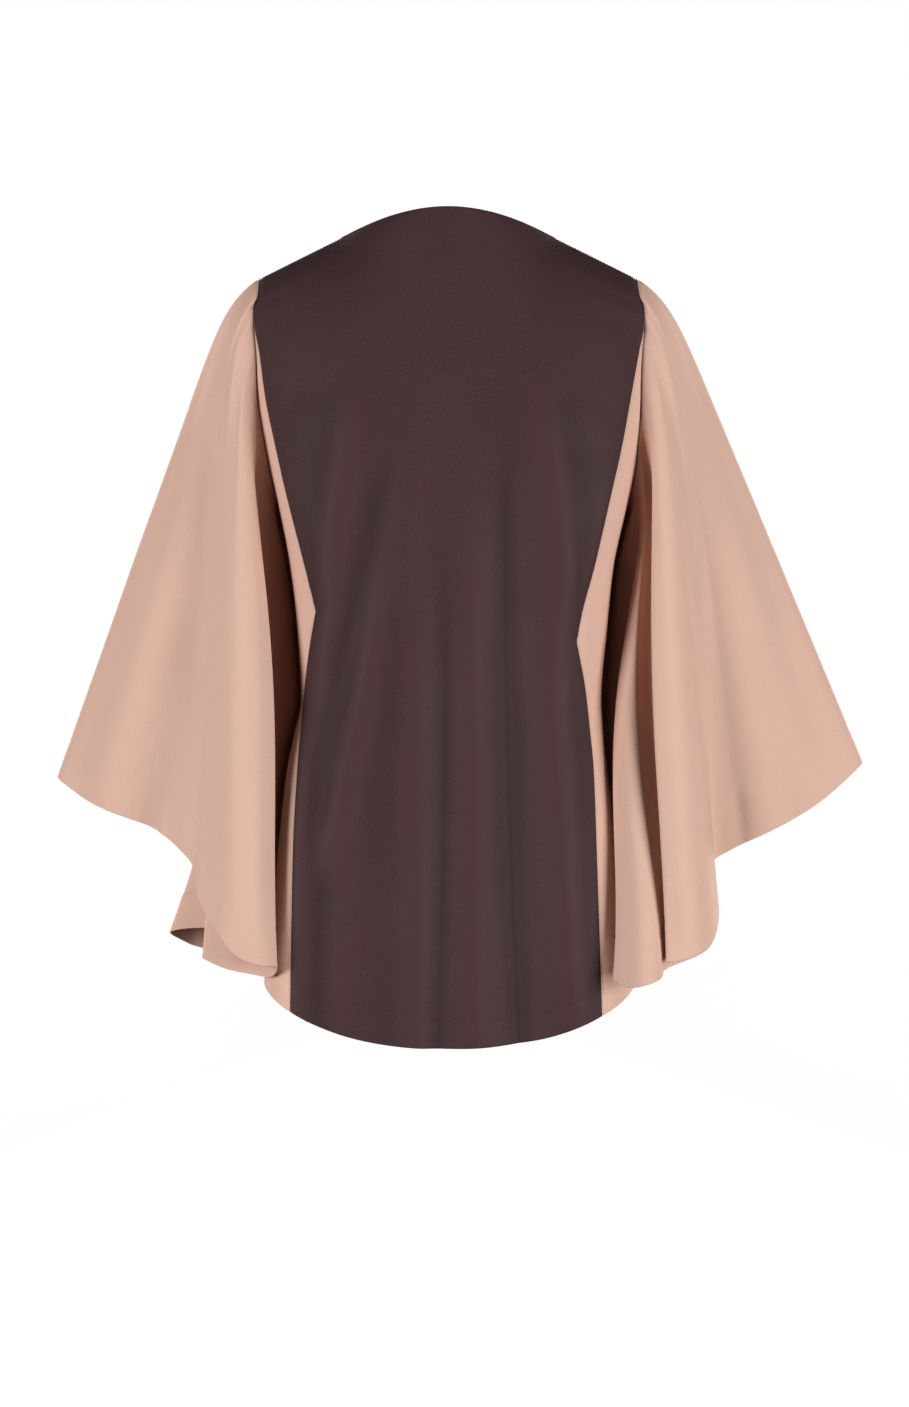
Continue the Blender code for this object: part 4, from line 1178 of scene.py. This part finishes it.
def stitchTree():
    tree = bpy.data.node_groups.new("stitch row", "GeometryNodeTree")
    face = tree.interface
    face.new_socket(name="Path", in_out="INPUT", socket_type="NodeSocketGeometry")
    for name in ("Spacing", "Length", "Thickness", "Turn", "Lean", "Jitter"):
        face.new_socket(name=name, in_out="INPUT", socket_type="NodeSocketFloat")
    face.new_socket(name="Seed", in_out="INPUT", socket_type="NodeSocketInt")
    face.new_socket(name="Thread", in_out="INPUT", socket_type="NodeSocketMaterial")
    face.new_socket(name="Stitches", in_out="OUTPUT", socket_type="NodeSocketGeometry")
    given = tree.nodes.new("NodeGroupInput").outputs
    path = addNode(tree, "GeometryNodeMeshToCurve", {}, {"Mesh": given["Path"]})
    spaced = addNode(tree, "GeometryNodeResampleCurve", {"mode": "LENGTH"},
                     {"Curve": path.outputs["Curve"], "Length": given["Spacing"]})
    thread = addNode(tree, "GeometryNodeMeshUVSphere",
                     {"Segments": stitches["sides"], "Rings": stitches["rings"], "Radius": 0.5}, {})
    out = addNode(tree, "GeometryNodeInputNamedAttribute",
                  {"data_type": "FLOAT_VECTOR", "Name": "out"}, {})
    along = addNode(tree, "GeometryNodeInputTangent", {}, {})
    upright = addNode(tree, "FunctionNodeAlignRotationToVector", {"axis": "Z"},
                      {"Vector": out.outputs["Attribute"]})
    laid = addNode(tree, "FunctionNodeAlignRotationToVector", {"axis": "X", "pivot_axis": "Z"},
                   {"Rotation": upright.outputs["Rotation"], "Vector": along.outputs["Tangent"]})
    number = addNode(tree, "GeometryNodeInputIndex", {}, {})
    even = addNode(tree, "ShaderNodeMath", {"operation": "MODULO", 1: 2.0},
                   {0: number.outputs["Index"]})
    side = addNode(tree, "ShaderNodeMath", {"operation": "MULTIPLY_ADD", 1: 2.0, 2: -1.0},
                   {0: even.outputs["Value"]})
    leaning = addNode(tree, "ShaderNodeMath", {"operation": "MULTIPLY_ADD"},
                      {0: side.outputs["Value"], 1: given["Lean"], 2: given["Turn"]})
    stray = addNode(tree, "FunctionNodeRandomValue", {"data_type": "FLOAT", 2: -1.0, 3: 1.0},
                    {"Seed": given["Seed"]})
    turned = addNode(tree, "ShaderNodeMath", {"operation": "MULTIPLY_ADD"},
                     {0: stray.outputs[1], 1: given["Jitter"], 2: leaning.outputs["Value"]})
    about = addNode(tree, "ShaderNodeCombineXYZ", {}, {"Z": turned.outputs["Value"]})
    spin = addNode(tree, "FunctionNodeEulerToRotation", {}, {"Euler": about.outputs["Vector"]})
    placed = addNode(tree, "FunctionNodeRotateRotation", {"rotation_space": "LOCAL"},
                     {"Rotation": laid.outputs["Rotation"], "Rotate By": spin.outputs["Rotation"]})
    size = addNode(tree, "ShaderNodeCombineXYZ", {},
                   {"X": given["Length"], "Y": given["Thickness"], "Z": given["Thickness"]})
    row = addNode(tree, "GeometryNodeInstanceOnPoints", {},
                  {"Points": spaced.outputs["Curve"], "Instance": thread.outputs["Mesh"],
                   "Rotation": placed.outputs["Rotation"], "Scale": size.outputs["Vector"]})
    solid = addNode(tree, "GeometryNodeRealizeInstances", {}, {"Geometry": row.outputs["Instances"]})
    smooth = addNode(tree, "GeometryNodeSetShadeSmooth", {}, {"Geometry": solid.outputs["Geometry"]})
    dyed = addNode(tree, "GeometryNodeSetMaterial", {},
                   {"Geometry": smooth.outputs["Geometry"], "Material": given["Thread"]})
    result = tree.nodes.new("NodeGroupOutput")
    tree.links.new(dyed.outputs["Geometry"], result.inputs["Stitches"])
    return tree


stitchRows = stitchTree()


def sewKind(kind, paths, thread):
    # all the rows of one kind on one piece; a path is points, normals and whether it closes
    points, outs, edges = [], [], []
    for line, normals, closed in paths:
        first = len(points)
        count = len(line)
        points += line
        outs += normals
        steps = range(count if closed else count - 1)
        edges += [(first + step, first + (step + 1) % count) for step in steps]
    mesh = bpy.data.meshes.new("stitch path")
    mesh.from_pydata(points, edges, [])
    outward = mesh.attributes.new("out", "FLOAT_VECTOR", "POINT")
    outward.data.foreach_set("vector", [part for out in outs for part in out])
    carrier = bpy.data.objects.new("stitch path", mesh)
    bpy.context.collection.objects.link(carrier)
    needle = carrier.modifiers.new("stitch row", "NODES")
    needle.node_group = stitchRows
    sockets = {item.name: item.identifier for item in stitchRows.interface.items_tree
               if item.in_out == "INPUT"}
    spacing, length, thickness, turn, lean = stitches["kinds"][kind]
    inputs = {"Spacing": spacing, "Length": length, "Thickness": thickness, "Turn": turn,
              "Lean": lean, "Jitter": stitches["jitter"], "Seed": stitches["seed"], "Thread": thread}
    for name, value in inputs.items():
        needle[sockets[name]] = value
    evaluated = carrier.evaluated_get(bpy.context.evaluated_depsgraph_get())
    threads = bpy.data.meshes.new_from_object(evaluated)
    bpy.data.objects.remove(carrier)
    bpy.data.meshes.remove(mesh)
    return threads


def sew(name, rows, thread):
    # one plain object of all the stitches on a piece
    work = bmesh.new()
    for kind, paths in rows.items():
        threads = sewKind(kind, paths, thread)
        work.from_mesh(threads)
        bpy.data.meshes.remove(threads)
    return addPiece(name, work, thread)


def lifted(line, normals, lift, closed=False):
    return [point + normal * lift for point, normal in zip(line, normals)], list(normals), closed


def columnOf(grid, normals, column, lift):
    return lifted([line[column] for line in grid], [line[column] for line in normals], lift)


def bodyRows(grid, normals):
    # overlocked allowances and hem stitches of a panel
    step = stitches["allowanceStep"]
    catchRow, pickRow = stitches["bodyHemRows"]
    return {
        "overlock": [columnOf(grid, normals, column, stitches["overlockLift"])
                     for column in (step, -1 - step)],
        "catch": [lifted(grid[catchRow], normals[catchRow], stitches["catchLift"])],
        "pick": [lifted(grid[pickRow], normals[pickRow], stitches["pickLift"])],
    }


def longSeams(grid, normals):
    return [columnOf(grid, normals, column, stitches["lockLift"]) for column in (0, -1)]


def shoulderSeams(grid, normals):
    last = len(grid[-1])
    count = sum(1 for point in grid[-1] if point.x < -panels["neckHalf"])
    spans = ((0, count), (last - count, last))
    return [lifted(grid[-1][low:high], normals[-1][low:high], stitches["lockLift"])
            for low, high in spans]


def sleeveRows(grid, normals):
    catchRow, pickRow = (-1 - row for row in stitches["sleeveHemRows"])
    step = stitches["allowanceStep"]
    return {
        "lock": [lifted(grid[0], normals[0], stitches["lockLift"], True)],
        "overlock": [lifted(grid[step], normals[step], stitches["overlockLift"], True)],
        "catch": [lifted(grid[catchRow], normals[catchRow], stitches["catchLift"], True)],
        "pick": [lifted(grid[pickRow], normals[pickRow], stitches["pickLift"], True)],
    }


def rowsOf(node, grid, normals):
    if node.startswith("sleeve"):
        return sleeveRows(grid, normals)
    rows = bodyRows(grid, normals)
    if node.startswith("side"):
        rows["lock"] = longSeams(grid, normals)
    if node == "back_panel":
        rows["lock"] = shoulderSeams(grid, normals)
    return rows


# What each piece stands for, its stitches and the size it was cut to

cuts = {
    # CAD node: name of the stitches, their thread, slot, width and length as cut
    "back_panel": ("back_stitches", darkSewing, "dark_crepe", (0.360, 0.745)),
    "front_panel": ("front_stitches", darkSewing, "dark_crepe", (0.360, 0.700)),
    "side_panel_left": ("side_stitches_left", blushSewing, "blush_crepe", (0.190, 0.600)),
    "side_panel_right": ("side_stitches_right", blushSewing, "blush_crepe", (0.210, 0.600)),
    "sleeve_left": ("sleeve_stitches_left", blushSewing, "blush_crepe", (0.990, 0.540)),
    "sleeve_right": ("sleeve_stitches_right", blushSewing, "blush_crepe", (1.010, 0.550)),
}
for node, (threadName, dye, slot, flatSize) in cuts.items():
    piece, grid, normals = sewn[node]
    thread = sew(threadName, rowsOf(node, grid, normals), dye)
    area = clothArea(grid, node.startswith("sleeve"))
    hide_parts(node)
    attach(piece, "root")
    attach(thread, "root")
    counts = [sum(len(face.vertices) - 2 for face in part.data.polygons) for part in (piece, thread)]
    print("cape top:", node, "area", round(area, 4), "triangles of cloth and thread", counts)
print("cape top: stitches sewn")


# Studio: a pale floor that curves up all round, soft lights and the photo's camera

studio = {
    "floorHeight": -1.45,     # a wearer's feet
    "floorRadius": 6.5,
    "curveRadius": 2.5,
    "wallHeight": 5.0,
    "floorSteps": (6, 16, 96),    # along the flat, up the curve and round
    "floorColour": "#f4f3f1",
    "floorRoughness": 0.9,
    "floorSpecular": 0.1,
    "floorGlow": 0.74,
    "worldStrength": 0.05,
    # name, place, size, watts
    "lights": (
        ("left softbox", (-3.0, -2.5, -0.3), (1.6, 1.8), 138),
        ("right softbox", (3.0, -2.5, -0.3), (1.6, 1.8), 146),
        ("left front softbox", (-2.6, 2.7, 0.2), (1.4, 2.2), 80),
        ("right front softbox", (2.6, 2.8, 0.2), (1.4, 2.2), 86),
    ),
}
photoCamera = {
    "place": (0.0057, -3.2, -0.409),
    "lens": 93.04,
    "middle": (0.0, 0.0, -0.35),
}


def sweep():
    # floor and backdrop in one, turned round the object
    profile = [(0.0, 0.0)]
    flatEnd = studio["floorRadius"] - studio["curveRadius"]
    flatSteps, curveSteps, turns = studio["floorSteps"]
    profile += [(flatEnd * step / flatSteps, 0.0) for step in range(1, flatSteps + 1)]
    for step in range(1, curveSteps + 1):
        angle = math.pi / 2 * step / curveSteps
        profile.append((flatEnd + studio["curveRadius"] * math.sin(angle),
                        studio["curveRadius"] * (1 - math.cos(angle))))
    profile.append((studio["floorRadius"], studio["wallHeight"]))
    work = bmesh.new()
    centre = work.verts.new((0.0, 0.0, studio["floorHeight"]))
    rings = [[work.verts.new((reach * math.cos(2 * math.pi * turn / turns),
                              reach * math.sin(2 * math.pi * turn / turns),
                              studio["floorHeight"] + rise)) for turn in range(turns)]
             for reach, rise in profile[1:]]
    for turn in range(turns):
        after = (turn + 1) % turns
        work.faces.new((centre, rings[0][turn], rings[0][after]))
        for low, high in zip(rings, rings[1:]):
            work.faces.new((low[turn], high[turn], high[after], low[after]))
    paint, tree, shader = newMaterial("matt white studio paint")
    setNode(tree, shader,
            {"Base Color": (*linear(studio["floorColour"]), 1.0),
             "Roughness": studio["floorRoughness"], "Specular IOR Level": studio["floorSpecular"],
             "Emission Color": (1.0, 1.0, 1.0, 1.0), "Emission Strength": studio["floorGlow"]}, {})
    floor = addPiece("studio floor", work, paint)
    floor.data.shade_smooth()
    # the backdrop stays out of the light on the cloth
    floor.visible_diffuse = False
    floor.visible_glossy = False
    floor.visible_shadow = False


def softbox(name, place, size, watts):
    light = bpy.data.lights.new(name, "AREA")
    light.shape = "RECTANGLE"
    light.size, light.size_y = size
    light.energy = watts
    box = bpy.data.objects.new(name, light)
    box.location = place
    aim = Vector(photoCamera["middle"]) - Vector(place)
    box.rotation_euler = aim.to_track_quat("-Z", "Y").to_euler()
    bpy.context.collection.objects.link(box)


sweep()
for row in studio["lights"]:
    softbox(*row)
world = bpy.data.worlds.new("studio air")
world.use_nodes = True
world.node_tree.nodes["Background"].inputs["Color"].default_value = (1.0, 1.0, 1.0, 1.0)
world.node_tree.nodes["Background"].inputs["Strength"].default_value = studio["worldStrength"]
bpy.context.scene.world = world
bpy.context.scene.view_settings.view_transform = "Standard"

lens = bpy.data.cameras.new("photo camera")
lens.lens = photoCamera["lens"]
camera = bpy.data.objects.new("photo camera", lens)
camera.location = photoCamera["place"]
camera.rotation_euler = (math.pi / 2, 0.0, 0.0)
bpy.context.collection.objects.link(camera)
bpy.context.scene.camera = camera
print("cape top: studio set")
